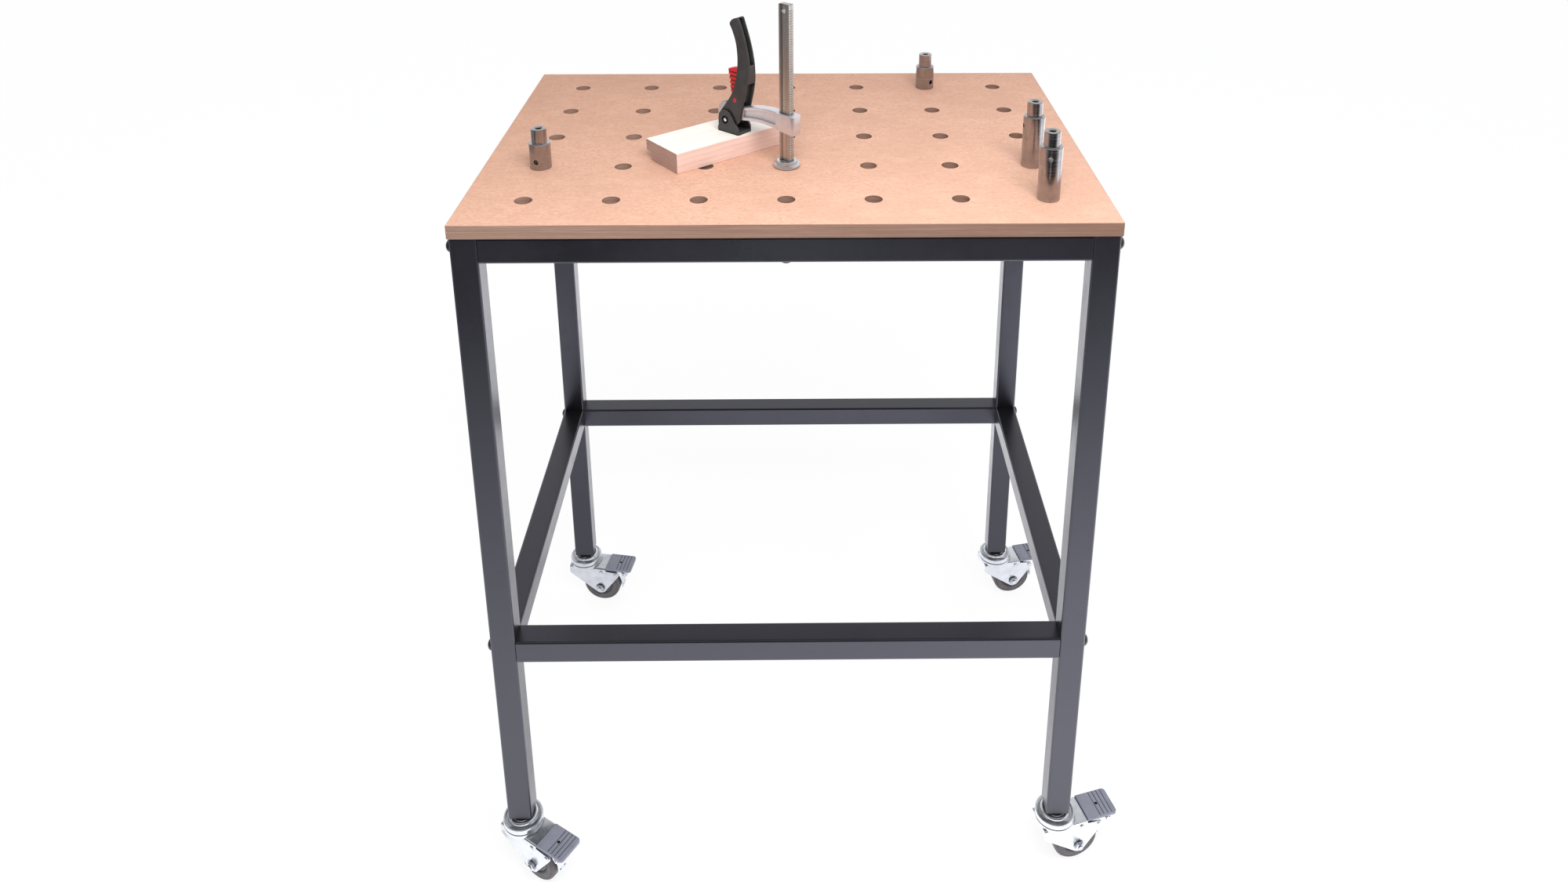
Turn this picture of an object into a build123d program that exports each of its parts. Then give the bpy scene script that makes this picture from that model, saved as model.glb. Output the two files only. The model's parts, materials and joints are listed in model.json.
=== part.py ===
from build123d import *
import math
import os

# Mobile perforated-top clamping bench.
# Frame of the model: millimetres, +Z up, +X to the right, +Y to the back.
# Origin: the centre of the middle dog hole, at the worktop's upper surface.

os.makedirs("parts", exist_ok=True)

# ---------------------------------------------------------------- dimensions
TOP_X, TOP_Y, TOP_T = 712.0, 512.0, 16.0      # worktop slab
HOLE_R = 10.0                                 # dog holes, 20 mm
PITCH = 96.0                                  # dog hole pitch, both ways
COLS, ROWS = 7, 5

FRAME_X, FRAME_Y = 710.0, 506.0               # outside of the tube frame
TUBE, WALL, TUBE_R = 30.0, 2.0, 2.6           # square tube, wall, corner radius
LEG_TOP, LEG_BOT = -TOP_T, -822.0             # leg ends
LOW_RAIL_TOP = -546.0                         # upper face of the lower rails
BOLT_R, BOLT_HOLE_R = 3.95, 4.5               # M8 bolts and their holes
HEAD_R, HEAD_H = 7.4, 4.9                     # button heads
WASHER_R, WASHER_T = 8.7, 1.6
NUT_PLUG = 18.0                               # length of the threaded end plugs
INSERT_R, INSERT_L = 6.0, 12.0                # threaded inserts in the slab

STEM_R = 5.0                                  # caster stem
FLOOR_Z = -911.0                              # floor level under the wheels
WHEEL_R, WHEEL_W = 30.0, 24.0                 # caster wheel
TRAIL, AXLE_Z = 28.0, FLOOR_Z + 30.0          # axle offset and height
AXLE_R = 3.0
FORK_OUT, FORK_T = 18.7, 2.5                  # fork half width, sheet thickness
FORK_TOP = -843.6                             # upper face of the fork crown
PEDAL_X0, PEDAL_X1, PEDAL_HW, PEDAL_T = 38.6, 80.4, 17.9, 4.0
PEDAL_TOP = -842.0
RIVET_A = (30.5, -850.8)                      # brake pivot
RIVET_B = (54.4, -853.6)                      # brake stop
CASTERS = {                                   # swivel angle of each trail
    "fl": (-1, -1, -32.0), "fr": (1, -1, 15.5),
    "bl": (-1, 1, -9.5), "br": (1, 1, 11.0),
}

DOG_R, NECK_R, NECK_H, SHANK_R, SHANK_L = 12.5, 9.0, 17.2, 9.95, 15.4
DOGS = {                                      # x, y, body height, hole height, facing
    "dog_short_left": (-288.0, -96.0, 31.6, 10.2, -104.0),
    "dog_short_back": (192.0, 192.0, 31.6, 10.2, -52.0),
    "dog_long_right": (288.0, -96.0, 62.5, 50.1, -177.0),
    "dog_long_front": (288.0, -192.0, 62.5, 50.1, -103.4),
}

CLAMP_X, CLAMP_Y, CLAMP_YAW = 0.0, -96.0, 140.0
BAR_W, BAR_T, BAR_TOP = 15.0, 8.0, 197.0      # clamp bar section and height
PIVOT = (91.0, 45.5)                          # lever pivot in the clamp plane
FOOT_PIN = (87.0, 41.0)                       # pressure foot pin in the clamp plane
PIVOT_R, FOOT_PIN_R = 3.2, 2.4
TRIG_PIN = (73.0, 68.0)                       # release trigger pivot

BLOCK_W, BLOCK_H, BLOCK_L, BLOCK_YAW = 66.0, 25.0, 158.0, 38.7
BLOCK_X, BLOCK_Y = -126.0, -120.6             # its front lower corner

LEG_X = FRAME_X / 2 - TUBE / 2
LEG_Y = FRAME_Y / 2 - TUBE / 2


# ------------------------------------------------------------------- helpers
def save(part, name):
    part.label = name
    export_step(part, "parts/" + name + ".step")


def group(solids, name):
    save(Compound(children=[s if isinstance(s, Solid) else s.solid() for s in solids]), name)


def one(part):
    # the single solid of a part
    return part.solid()


def rnd(part, edges, radius):
    # round edges, falling back to a smaller radius on tight corners
    for r in (radius, radius * 0.7, radius * 0.4):
        try:
            out = fillet(edges, r)
            if out.is_valid:
                return out
        except Exception:
            pass
    return part


def slab_xz(points, y0, y1):
    # a polygon in X and Z, as a plate from y0 to y1
    face = Plane.XZ * make_face(Polyline(*[(p[0], p[1]) for p in points], close=True))
    return Pos(0, y1, 0) * extrude(face, amount=y1 - y0)


def spun(points):
    # a closed profile of radius and height, turned about Z
    return revolve(Plane.XZ * make_face(Polyline(*points, close=True)), axis=Axis.Z)


def rod_y(x, z, r, y0, y1):
    return Pos(x, (y0 + y1) / 2, z) * Rot(90, 0, 0) * Cylinder(r, y1 - y0)


def rod_x(y, z, r, x0, x1):
    return Pos((x0 + x1) / 2, y, z) * Rot(0, 90, 0) * Cylinder(r, x1 - x0)


def rod_z(x, y, r, z0, z1):
    return Pos(x, y, (z0 + z1) / 2) * Cylinder(r, z1 - z0)


def tube(length, axis):
    # square tube, centred, along X, Y or Z
    size = {"X": (length, TUBE, TUBE), "Y": (TUBE, length, TUBE), "Z": (TUBE, TUBE, length)}[axis]
    inner = tuple(s if s == length else s - 2 * WALL for s in size)
    inner = tuple(length + 2 if s == length else s for s in inner)
    ax = {"X": Axis.X, "Y": Axis.Y, "Z": Axis.Z}[axis]
    a = Box(*size)
    a = fillet(a.edges().filter_by(ax), TUBE_R)
    b = Box(*inner)
    b = fillet(b.edges().filter_by(ax), TUBE_R - 1.6)
    return a - b


# ------------------------------------------------------------------ worktop
top = Pos(0, 0, -TOP_T / 2) * Box(TOP_X, TOP_Y, TOP_T)
top = fillet(top.edges().filter_by(Axis.Z), 1.5)
top = chamfer(top.faces().sort_by(Axis.Z)[-1].edges(), 0.5)
top = chamfer(top.faces().sort_by(Axis.Z)[0].edges(), 1.0)
for i in range(COLS):
    for j in range(ROWS):
        top -= rod_z((i - 3) * PITCH, (j - 2) * PITCH, HOLE_R, -TOP_T - 1, 1)
FIX = [(0, -LEG_Y), (0, LEG_Y), (-LEG_X, 0), (LEG_X, 0)]
for (x, y) in FIX:
    top -= rod_z(x, y, INSERT_R, -TOP_T - 1, -TOP_T + INSERT_L + 0.3)
save(one(top), "table_top")

# -------------------------------------------------------------------- frame
RAIL_Z = {"top": LEG_TOP - TUBE / 2, "lower": LOW_RAIL_TOP - TUBE / 2}
for name, sx, sy in (("fl", -1, -1), ("fr", 1, -1), ("bl", -1, 1), ("br", 1, 1)):
    leg = Pos(sx * LEG_X, sy * LEG_Y, (LEG_TOP + LEG_BOT) / 2) * tube(LEG_TOP - LEG_BOT, "Z")
    for z in RAIL_Z.values():
        leg -= rod_x(sy * LEG_Y, z, BOLT_HOLE_R, sx * LEG_X - 20, sx * LEG_X + 20)
    save(one(leg), "leg_" + name)

for level, z in RAIL_Z.items():
    for name, sy in (("front", -1), ("back", 1)):
        rail = Pos(0, sy * LEG_Y, z) * tube(FRAME_X - 2 * TUBE, "X")
        if level == "top":
            rail -= rod_z(0, sy * LEG_Y, BOLT_HOLE_R, z - 20, z + 20)
        save(one(rail), level + "_rail_" + name)
    for name, sx in (("left", -1), ("right", 1)):
        rail = Pos(sx * LEG_X, 0, z) * tube(FRAME_Y - 2 * TUBE, "Y")
        if level == "top":
            rail -= rod_z(sx * LEG_X, 0, BOLT_HOLE_R, z - 20, z + 20)
        save(one(rail), level + "_rail_" + name)

# threaded plugs in the ends of the front and back rails
plugs, bolts, washers = [], [], []
washer = Cylinder(WASHER_R, WASHER_T) - Cylinder(BOLT_R + 0.25, 5)
washer = chamfer(washer.edges().filter_by(GeomType.CIRCLE).sort_by(SortBy.RADIUS)[-2:], 0.3)


def button_bolt(length):
    # button head on top of z=0, shank below it
    h = HEAD_H
    head = spun([(0, 0), (HEAD_R, 0), (HEAD_R, 0.9), (HEAD_R - 0.5, 2.2), (HEAD_R - 1.7, 3.6),
                 (HEAD_R - 3.3, h - 0.3), (3.4, h), (0, h)])
    hexa = Pos(0, 0, h - 2.6) * extrude(RegularPolygon(2.9, 6), amount=4)
    head -= hexa
    shank = Pos(0, 0, -length / 2) * Cylinder(BOLT_R, length)
    shank = chamfer(shank.edges().filter_by(GeomType.CIRCLE).sort_by(Axis.Z)[0], 0.7)
    return one(head + shank)


side_bolt = button_bolt(46.0)
for sx in (-1, 1):
    for sy in (-1, 1):
        for z in RAIL_Z.values():
            x_end = sx * (FRAME_X / 2 - TUBE)
            p = Pos(x_end - sx * NUT_PLUG / 2, sy * LEG_Y, z) * Box(NUT_PLUG, TUBE - 2 * WALL - 0.1, TUBE - 2 * WALL - 0.1)
            p = chamfer(p.edges().filter_by(Axis.X), 1.4)
            p -= rod_x(sy * LEG_Y, z, BOLT_R + 0.05, x_end - 40, x_end + 40)
            plugs.append(one(p))
            turn = Rot(0, 90, 0) if sx > 0 else Rot(0, -90, 0)
            bolts.append(one(Pos(sx * (FRAME_X / 2 + WASHER_T), sy * LEG_Y, z) * turn * side_bolt))
            washers.append(one(Pos(sx * (FRAME_X / 2 + WASHER_T / 2), sy * LEG_Y, z) * turn * washer))
group(plugs, "rail_end_plugs")
group(bolts, "frame_bolts")

# bolts that hold the slab, one up through the middle of each top rail
top_bolt = button_bolt(TUBE + WASHER_T + 9.5)
topbolts, inserts = [], []
for (x, y) in FIX:
    z = LEG_TOP - TUBE - WASHER_T
    topbolts.append(one(Pos(x, y, z) * Rot(180, 0, 0) * top_bolt))
    washers.append(one(Pos(x, y, LEG_TOP - TUBE - WASHER_T / 2) * washer))
    inserts.append(one(rod_z(x, y, INSERT_R, -TOP_T, -TOP_T + INSERT_L)
                       - rod_z(x, y, BOLT_R + 0.05, -TOP_T - 1, -TOP_T + INSERT_L - 1.0)))
group(topbolts, "top_fixing_bolts")
group(inserts, "top_threaded_inserts")
group(washers, "frame_washers")

# ------------------------------------------------------------------ casters
end_plugs, stems, races, cages = [], [], [], []
COLLAR_Z = -829.4
for sx, sy, yaw in CASTERS.values():
    at = Pos(sx * LEG_X, sy * LEG_Y, 0)
    body = Pos(0, 0, LEG_BOT + 12.5) * Box(TUBE - 2 * WALL - 0.1, TUBE - 2 * WALL - 0.1, 25.0)
    body = chamfer(body.edges().filter_by(Axis.Z), 1.4)
    lip = Pos(0, 0, LEG_BOT - 0.6) * Box(TUBE - 0.6, TUBE - 0.6, 1.2)
    lip = fillet(lip.edges().filter_by(Axis.Z), 2.4)
    collar = spun([(0, LEG_BOT - 1.2), (11.6, LEG_BOT - 1.2), (11.4, COLLAR_Z + 0.6), (10.8, COLLAR_Z), (0, COLLAR_Z)])
    end_plugs.append(one(at * (body + lip + collar - Pos(0, 0, LEG_BOT) * Cylinder(STEM_R + 0.04, 80))))
    hz = FORK_TOP - FORK_T - 0.3
    stems.append(one(at * spun([(0, hz - 4.6), (7.6, hz - 4.6), (8.4, hz - 3.8), (8.4, hz), (STEM_R, hz),
                                (STEM_R, -801.0), (STEM_R - 1, -800.0), (0, -800.0)])))
    races.append(one(at * spun([
        (STEM_R + 0.04, COLLAR_Z), (12.4, COLLAR_Z), (13.2, COLLAR_Z - 0.6), (14.0, COLLAR_Z + 0.1), (15.0, COLLAR_Z + 0.9),
        (16.2, COLLAR_Z + 1.15), (17.4, COLLAR_Z + 0.8), (18.4, COLLAR_Z - 0.3), (19.0, COLLAR_Z - 2.2), (19.8, COLLAR_Z - 3.4),
        (21.0, COLLAR_Z - 3.5), (22.2, COLLAR_Z - 2.9), (23.6, COLLAR_Z - 2.7), (24.6, COLLAR_Z - 3.2), (25.0, COLLAR_Z - 4.4),
        (25.0, COLLAR_Z - 9.0), (23.7, COLLAR_Z - 9.0), (23.7, COLLAR_Z - 5.6), (18.0, COLLAR_Z - 5.4),
        (16.8, COLLAR_Z - 3.4), (13.0, COLLAR_Z - 3.6), (8.2, COLLAR_Z - 5.0), (8.2, FORK_TOP + 0.2), (STEM_R + 0.04, FORK_TOP + 0.2)])))
    cages.append(one(at * spun([(9.2, FORK_TOP + 0.2), (16.6, FORK_TOP + 0.2), (16.6, FORK_TOP + 4.6),
                                (15.6, COLLAR_Z - 4.6), (10.2, COLLAR_Z - 5.2), (9.2, FORK_TOP + 4.6)])))
group(end_plugs, "leg_end_plugs")
group(stems, "caster_stems")
group(races, "caster_top_races")
group(cages, "caster_bearing_cages")


def tangent(px, pz, cx, cz, r, side):
    # tangent point on a circle from an outside point
    dx, dz = cx - px, cz - pz
    d = math.hypot(dx, dz)
    a = math.atan2(dz, dx) + side * math.asin(r / d)
    t = math.sqrt(d * d - r * r)
    return (px + t * math.cos(a), pz + t * math.sin(a))


def make_fork():
    ax = (TRAIL, AXLE_Z)
    br = 10.2
    right = (59.6, -855.8)
    left = (-21.5, -857.5)
    tr = tangent(right[0], right[1], ax[0], ax[1], br, 1)
    tl = tangent(left[0], left[1], ax[0], ax[1], br, -1)
    if tr[1] > ax[1] + br * 0.9 or tr[0] < ax[0]:
        tr = tangent(right[0], right[1], ax[0], ax[1], br, -1)
    if tl[1] > ax[1] + br * 0.9 or tl[0] > ax[0]:
        tl = tangent(left[0], left[1], ax[0], ax[1], br, 1)
    out = [(-22.5, FORK_TOP), (38.2, FORK_TOP), (38.2, -847.7), (57.4, -850.2), (59.6, -852.2), right, tr,
           (ax[0] + 1, ax[1] - 1), tl, left, (-22.5, -855.0)]
    body = slab_xz(out, -FORK_OUT, FORK_OUT) + rod_y(ax[0], ax[1], br, -FORK_OUT, FORK_OUT)
    body = rnd(body, body.edges().filter_by(Axis.X).group_by(Axis.Z)[-1], 2.4)
    inside = Pos(20, 0, FORK_TOP - FORK_T - 40) * Box(140, 2 * (FORK_OUT - FORK_T), 80)
    body -= inside
    # round crown with a turned-up rim round the bearing
    body += spun([(0, FORK_TOP - FORK_T), (24.2, FORK_TOP - FORK_T), (25.2, FORK_TOP - FORK_T + 0.9), (25.2, FORK_TOP + 3.5), (24.6, FORK_TOP + 4.1),
                  (23.4, FORK_TOP + 4.1), (22.8, FORK_TOP + 3.5), (22.8, FORK_TOP + 0.6), (22.2, FORK_TOP), (0, FORK_TOP)])
    body -= Pos(0, 0, FORK_TOP) * Cylinder(STEM_R + 0.08, 20)
    for s in (-1, 1):
        dish = Pos(ax[0], s * (FORK_OUT - 0.55), ax[1]) * Rot(-90 * s, 0, 0) * Cone(6.2, 8.0, 1.1)
        body -= dish
        body -= rod_y(ax[0], ax[1], AXLE_R + 0.05, -30, 30)
        body -= rod_y(RIVET_A[0], RIVET_A[1], 2.0, -30, 30)
        body -= rod_y(RIVET_B[0], RIVET_B[1], 2.0, -30, 30)
    return one(body)


def make_hardware():
    # axle bolt with its nut, the two brake pivot rivets and two plain rivets
    ax = (TRAIL, AXLE_Z)
    hexa = lambda af, h: extrude(RegularPolygon(af / 2, 6, major_radius=False), amount=h)
    head = Plane(origin=(ax[0], FORK_OUT - 1.05, ax[1]), x_dir=(1, 0, 0), z_dir=(0, 1, 0)) * hexa(10.0, 4.4)
    head = chamfer(head.edges().group_by(Axis.Y)[-1], 0.6)
    shank = rod_y(ax[0], ax[1], AXLE_R, -FORK_OUT - 5.6, FORK_OUT - 0.9)
    bolt = one(head + shank)
    nut = Plane(origin=(ax[0], -FORK_OUT + 1.05, ax[1]), x_dir=(1, 0, 0), z_dir=(0, -1, 0)) * hexa(10.0, 5.4)
    nut = chamfer(nut.edges().group_by(Axis.Y)[0], 0.8)
    nut = nut - rod_y(ax[0], ax[1], AXLE_R + 0.05, -30, 0)
    pins = []
    for (x, z), y_in in ((RIVET_A, FORK_OUT - FORK_T - 1.8), (RIVET_B, FORK_OUT - FORK_T)):
        for s in (-1, 1):
            pin = rod_y(x, z, 2.0, min(s * y_in, s * FORK_OUT), max(s * y_in, s * FORK_OUT))
            pin += Pos(x, s * (FORK_OUT + 0.55), z) * Rot(-90 * s, 0, 0) * Cone(2.9, 2.0, 1.1)
            pins.append(one(pin))
    return [bolt, one(nut)] + pins


def make_hub():
    r, w = AXLE_R + 0.06, FORK_OUT - FORK_T - 0.4
    return one(Pos(TRAIL, 0, AXLE_Z) * Rot(90, 0, 0) * spun([
        (r, -w), (5.6, -w), (6.6, -w + 1.6), (7.4, -10.2), (12.6, -9.6), (13.4, -10.6), (15.4, -10.6), (17.0, -9.4),
        (17.0, 9.4), (15.4, 10.6), (13.4, 10.6), (12.6, 9.6), (7.4, 10.2), (6.6, w - 1.6), (5.6, w), (r, w)]))


def make_tyre():
    h = WHEEL_W / 2
    return one(Pos(TRAIL, 0, AXLE_Z) * Rot(90, 0, 0) * spun([
        (17.0, -9.4), (18.4, -h + 0.6), (19.6, -h), (25.6, -h), (26.3, -h + 0.7), (27.0, -h + 0.3), (28.3, -h + 0.9), (29.4, -h + 2.2), (29.85, -h + 3.8), (WHEEL_R, -h + 6),
        (WHEEL_R, h - 6), (29.85, h - 3.8), (29.4, h - 2.2), (28.3, h - 0.9), (27.0, h - 0.3), (26.3, h - 0.7), (25.6, h), (19.6, h), (18.4, h - 0.6), (17.0, 9.4)]))


def make_brake():
    # steel lever under the pedal, hung on the two pivot rivets, with a curved shoe behind the tyre
    plate_z = PEDAL_TOP - PEDAL_T
    hw = FORK_OUT - FORK_T - 1.9
    top_p = Pos((38.8 + 76.0) / 2, 0, plate_z - 0.8) * Box(76.0 - 38.8, 2 * hw, 1.6)
    ears = Part() + [
        slab_xz([(26.4, -848.6), (28.4, -847.2), (38.8, -847.1), (38.8, plate_z), (46.0, plate_z), (46.0, -848.8), (35.0, -853.8), (32.0, -855.0), (28.6, -854.8), (26.4, -852.8), (25.9, -850.6)], y0, y1)
        for (y0, y1) in ((-hw - 1.4, -hw), (hw, hw + 1.4))]
    # flanges turned down under the pedal's outer part, each with two small holes
    ears += [slab_xz([(60.8, plate_z), (75.6, plate_z), (75.0, -852.0), (72.6, -855.4), (67.0, -856.4), (62.0, -850.4)], y0, y1)
             for (y0, y1) in ((-hw - 1.4, -hw), (hw, hw + 1.4))]
    tie = Pos(41.0, 0, plate_z - 0.8) * Box(4.4, 2 * hw + 2.8, 1.6)
    arc = []
    r_in, r_out = WHEEL_R + 3.5, WHEEL_R + 5.1
    a0, a1 = -8.0, 42.0
    n = 14
    for k in range(n + 1):
        a = math.radians(a0 + (a1 - a0) * k / n)
        arc.append((TRAIL + r_out * math.cos(a), AXLE_Z + r_out * math.sin(a)))
    for k in range(n, -1, -1):
        a = math.radians(a0 + (a1 - a0) * k / n)
        arc.append((TRAIL + r_in * math.cos(a), AXLE_Z + r_in * math.sin(a)))
    shoe = slab_xz(arc, -7.0, 7.0)
    web = slab_xz([(51.0, plate_z - 0.8), (arc[n][0], plate_z - 0.8), arc[n], arc[n + 1]], -7.0, 7.0)
    lever = top_p + tie + ears + shoe + web
    lever -= rod_y(RIVET_A[0], RIVET_A[1], 2.06, -20, 20)
    for y in (-4.0, 4.0):
        lever -= rod_x(y, AXLE_Z, 1.1, TRAIL + WHEEL_R, TRAIL + WHEEL_R + 8)
    for x, z in ((67.2, -852.8), (71.6, -850.8)):
        lever -= rod_y(x, z, 1.15, -20, 20)
    return lever.solids().sort_by(SortBy.VOLUME)[-1]


def make_pedal():
    x0, x1, hw, zt, th = PEDAL_X0, PEDAL_X1, PEDAL_HW, PEDAL_TOP, PEDAL_T
    body = Pos((x0 + x1) / 2, 0, zt - th / 2) * Box(x1 - x0, 2 * hw, th)
    vert = body.edges().filter_by(Axis.Z)
    body = fillet(vert.group_by(Axis.X)[-1], 4.5)
    body = rnd(body, body.faces().sort_by(Axis.Z)[-1].edges(), 1.0)
    for x in (56.6, 62.2, 67.8, 73.4):
        body -= Pos(x, 0, zt) * Box(1.0, 2 * hw - 2.4, 1.6)
    body -= Pos(59.4, 0, zt) * Cylinder(1.9, 6.0)
    return one(body)


fork0, hw0, hub0, tyre0, brake0, pedal0 = make_fork(), make_hardware(), make_hub(), make_tyre(), make_brake(), make_pedal()
for name, (sx, sy, yaw) in CASTERS.items():
    at = Pos(sx * LEG_X, sy * LEG_Y, 0) * Rot(0, 0, yaw)
    save(at * fork0, "caster_fork_" + name)
    group([one(at * s) for s in hw0], "caster_axle_set_" + name)
    save(at * hub0, "caster_hub_" + name)
    save(at * tyre0, "caster_tyre_" + name)
    save(at * brake0, "brake_lever_" + name)
    save(at * pedal0, "brake_pedal_" + name)

# --------------------------------------------------------------- bench dogs
for name, (x, y, h, hole_z, facing) in DOGS.items():
    dog = spun([(0, -SHANK_L), (SHANK_R - 0.9, -SHANK_L), (SHANK_R, -SHANK_L + 0.9), (SHANK_R, 0), (DOG_R - 0.3, 0), (DOG_R, 0.3),
                (DOG_R, h - 0.7), (DOG_R - 0.7, h), (NECK_R + 0.4, h), (NECK_R, h + 0.4), (NECK_R, h + NECK_H - 0.7),
                (NECK_R - 0.7, h + NECK_H), (5.2, h + NECK_H), (3.9, h + NECK_H - 1.3), (3.9, h + NECK_H - 12.0), (0, h + NECK_H - 14.0)])
    cross = Pos(0, 0, hole_z) * Rot(0, 90, 0) * Cylinder(2.85, 60)
    rim = Pos(DOG_R - 0.1, 0, hole_z) * Rot(0, 90, 0) * Cone(2.6, 3.6, 1.4)
    rim2 = Pos(-DOG_R + 0.1, 0, hole_z) * Rot(0, -90, 0) * Cone(2.6, 3.6, 1.4)
    dog = dog - cross - rim - rim2
    save(one(Pos(x, y, 0) * Rot(0, 0, facing) * dog), name)

# ------------------------------------------------------------ loose workpiece
block = Pos(BLOCK_L / 2, BLOCK_W / 2, BLOCK_H / 2) * Box(BLOCK_L, BLOCK_W, BLOCK_H)
block = chamfer(block.edges(), 0.6)
save(one(Pos(BLOCK_X, BLOCK_Y, 0) * Rot(0, 0, BLOCK_YAW) * block), "workpiece_block")

# ------------------------------------------------------------- lever clamp
# Built in the clamp's own plane: x runs out along the arm, z is up, y is across.
CL = Pos(CLAMP_X, CLAMP_Y, 0) * Rot(0, 0, CLAMP_YAW)

# bar with a toothed back edge and shallow grooves on both broad faces
pts = [(BAR_W / 2, 2.0), (BAR_W / 2, BAR_TOP - 1.0), (BAR_W / 2 - 1.0, BAR_TOP), (-BAR_W / 2 + 1.0, BAR_TOP), (-BAR_W / 2, BAR_TOP - 1.0)]
z = 190.0
while z > 16.0:
    pts += [(-BAR_W / 2, z), (-BAR_W / 2 + 0.45, z - 0.9), (-BAR_W / 2, z - 1.8)]
    z -= 3.0
pts += [(-BAR_W / 2, 2.0)]
bar = slab_xz(pts, -BAR_T / 2, BAR_T / 2)
for s in (-1, 1):
    bar -= Pos(0.6, s * (BAR_T / 2), 105) * Box(6.0, 1.4, 220)
    bar -= Pos(4.6, s * (BAR_T / 2 + 0.35), 105) * Box(1.2, 1.4, 220)
bar -= rod_y(0.4, BAR_TOP - 8.6, 3.1, -10, 10)
save(one(CL * bar), "clamp_bar")

# collar and stud: the bar is set in a rectangular socket
stud = spun([(0, -38.0), (SHANK_R - 1.2, -38.0), (SHANK_R, -36.8), (SHANK_R, 0), (15.0, 0), (15.6, 0.6), (15.6, 3.4), (15.0, 4.4),
             (12.9, 5.0), (12.3, 5.6), (12.2, 7.6), (11.6, 8.3), (0, 8.3)])
stud -= Pos(0, 0, 2.0 + 10) * Box(BAR_W + 0.1, BAR_T + 0.1, 20)
save(one(CL * stud), "clamp_collar_stud")

# cast arm with a sleeve on the bar and a toothed sector at its end
arm_top = [(-16.2, 64.6), (-11.0, 65.6), (9.0, 66.2), (24.0, 66.4), (40.0, 64.8), (52.0, 62.6), (64.0, 59.4), (78.0, 54.6)]
arm_bot = [(80.0, 39.8), (66.0, 43.4), (50.0, 46.2), (34.0, 47.2), (12.0, 46.2), (-11.0, 43.2), (-16.2, 42.6)]
arm = slab_xz(arm_top + [(PIVOT[0], PIVOT[1] + 7.5), (PIVOT[0], PIVOT[1] - 7.5)] + arm_bot, -5.9, 5.9)
arm += rod_y(PIVOT[0], PIVOT[1], 7.5, -5.9, 5.9)
sleeve = slab_xz([(-16.2, 64.6), (-11.0, 65.6), (9.6, 66.2), (9.6, 45.9), (-11.0, 43.2), (-16.2, 42.6)], -8.2, 8.2)
sleeve = rnd(sleeve, sleeve.edges().filter_by(Axis.Z).group_by(Axis.X)[0], 4.0)
arm -= Pos(-14, 0, 54) * Box(16, 30, 30)
arm += sleeve
panel = [(12.6, 62.6), (24.0, 63.0), (40.0, 61.4), (52.0, 59.2), (63.0, 56.4), (63.0, 47.6), (50.0, 49.8), (34.0, 50.8), (12.6, 49.8)]
for (y0, y1) in ((-8.0, -3.6), (3.6, 8.0)):
    arm -= slab_xz(panel, y0, y1)
teeth = [PIVOT]
a = -14.0
while a <= 78.0:
    for r_t, da in ((14.6, 0.0), (16.4, 1.6), (16.4, 2.4)):
        aa = math.radians(a + da)
        teeth.append((PIVOT[0] + r_t * math.cos(aa), PIVOT[1] + r_t * math.sin(aa)))
    a += 4.0
arm += slab_xz(teeth, -2.4, 2.4)
arm -= Pos(0, 0, 54) * Box(BAR_W + 0.3, BAR_T + 0.3, 60)
arm -= rod_y(PIVOT[0], PIVOT[1], PIVOT_R, -20, 20)
save(CL * arm.solids().sort_by(SortBy.VOLUME)[-1], "clamp_arm")
save(one(CL * rod_y(PIVOT[0], PIVOT[1], PIVOT_R, -9.4, 9.4)), "clamp_lever_pin")

# moulded lever: curved handle, two cheeks at its foot
inner_edge = [(66.0, 44.0), (63.4, 55.0), (60.4, 66.0), (56.8, 80.0), (54.2, 92.0), (52.8, 104.0), (53.0, 116.0), (55.4, 130.0), (59.0, 143.0), (63.2, 155.0), (67.6, 166.6)]
outer_edge = [(81.2, 158.6), (78.6, 154.4), (75.6, 148.0), (72.6, 139.5), (70.6, 127.0), (69.9, 114.3), (70.6, 101.4), (73.2, 86.0), (77.0, 76.3), (83.0, 67.0), (90.5, 57.2), (96.0, 50.2)]
with BuildPart() as lever_b:
    with BuildSketch(Plane.XZ):
        with BuildLine():
            Spline(*inner_edge)
            Spline(inner_edge[-1], (70.6, 168.4), (75.0, 167.6), (79.6, 164.4), (81.6, 161.2), outer_edge[0])
            Spline(*outer_edge)
            ThreePointArc(outer_edge[-1], (96.6, 42.0), (91.6, 34.4))
            Line((91.6, 34.4), (82.0, 33.2))
            ThreePointArc((82.0, 33.2), (71.6, 36.4), (66.0, 44.0))
        make_face()
    extrude(amount=9.5, both=True)
lever = lever_b.part
# width across the hand: wide at the cheeks, narrower up the handle
front = [(9.5, 20), (9.5, 78), (8.4, 94), (6.9, 108), (6.2, 122), (6.0, 172), (-6.0, 172), (-6.2, 122), (-6.9, 108), (-8.4, 94), (-9.5, 78), (-9.5, 20)]
waist = Pos(40, 0, 0) * extrude(Plane.YZ * make_face(Polyline(*front, close=True)), amount=70)
lever = lever & waist
long_edges = [e for e in lever.edges() if e.length > 40]
lever = rnd(lever, long_edges, 2.2)
# gap for the arm, open below, and a pocket above it in the face towards the bar
lever -= slab_xz([(40, 20), (120, 20), (120, 60.0), (84.0, 62.6), (72.0, 63.6), (40.0, 63.6)], -6.3, 6.3)
lever -= slab_xz([(50.0, 62.0), (50.0, 90.0), (60.8, 90.0), (61.4, 84.0), (63.4, 74.0), (66.4, 64.0), (66.4, 62.0)], -6.3, 6.3)
# upper pocket
lever -= slab_xz([(45.0, 113.0), (59.8, 113.0), (62.0, 127.0), (65.8, 143.0), (70.2, 155.0), (74.8, 163.4), (68.2, 171.0), (60.0, 171.0)], -3.5, 3.5)
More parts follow.
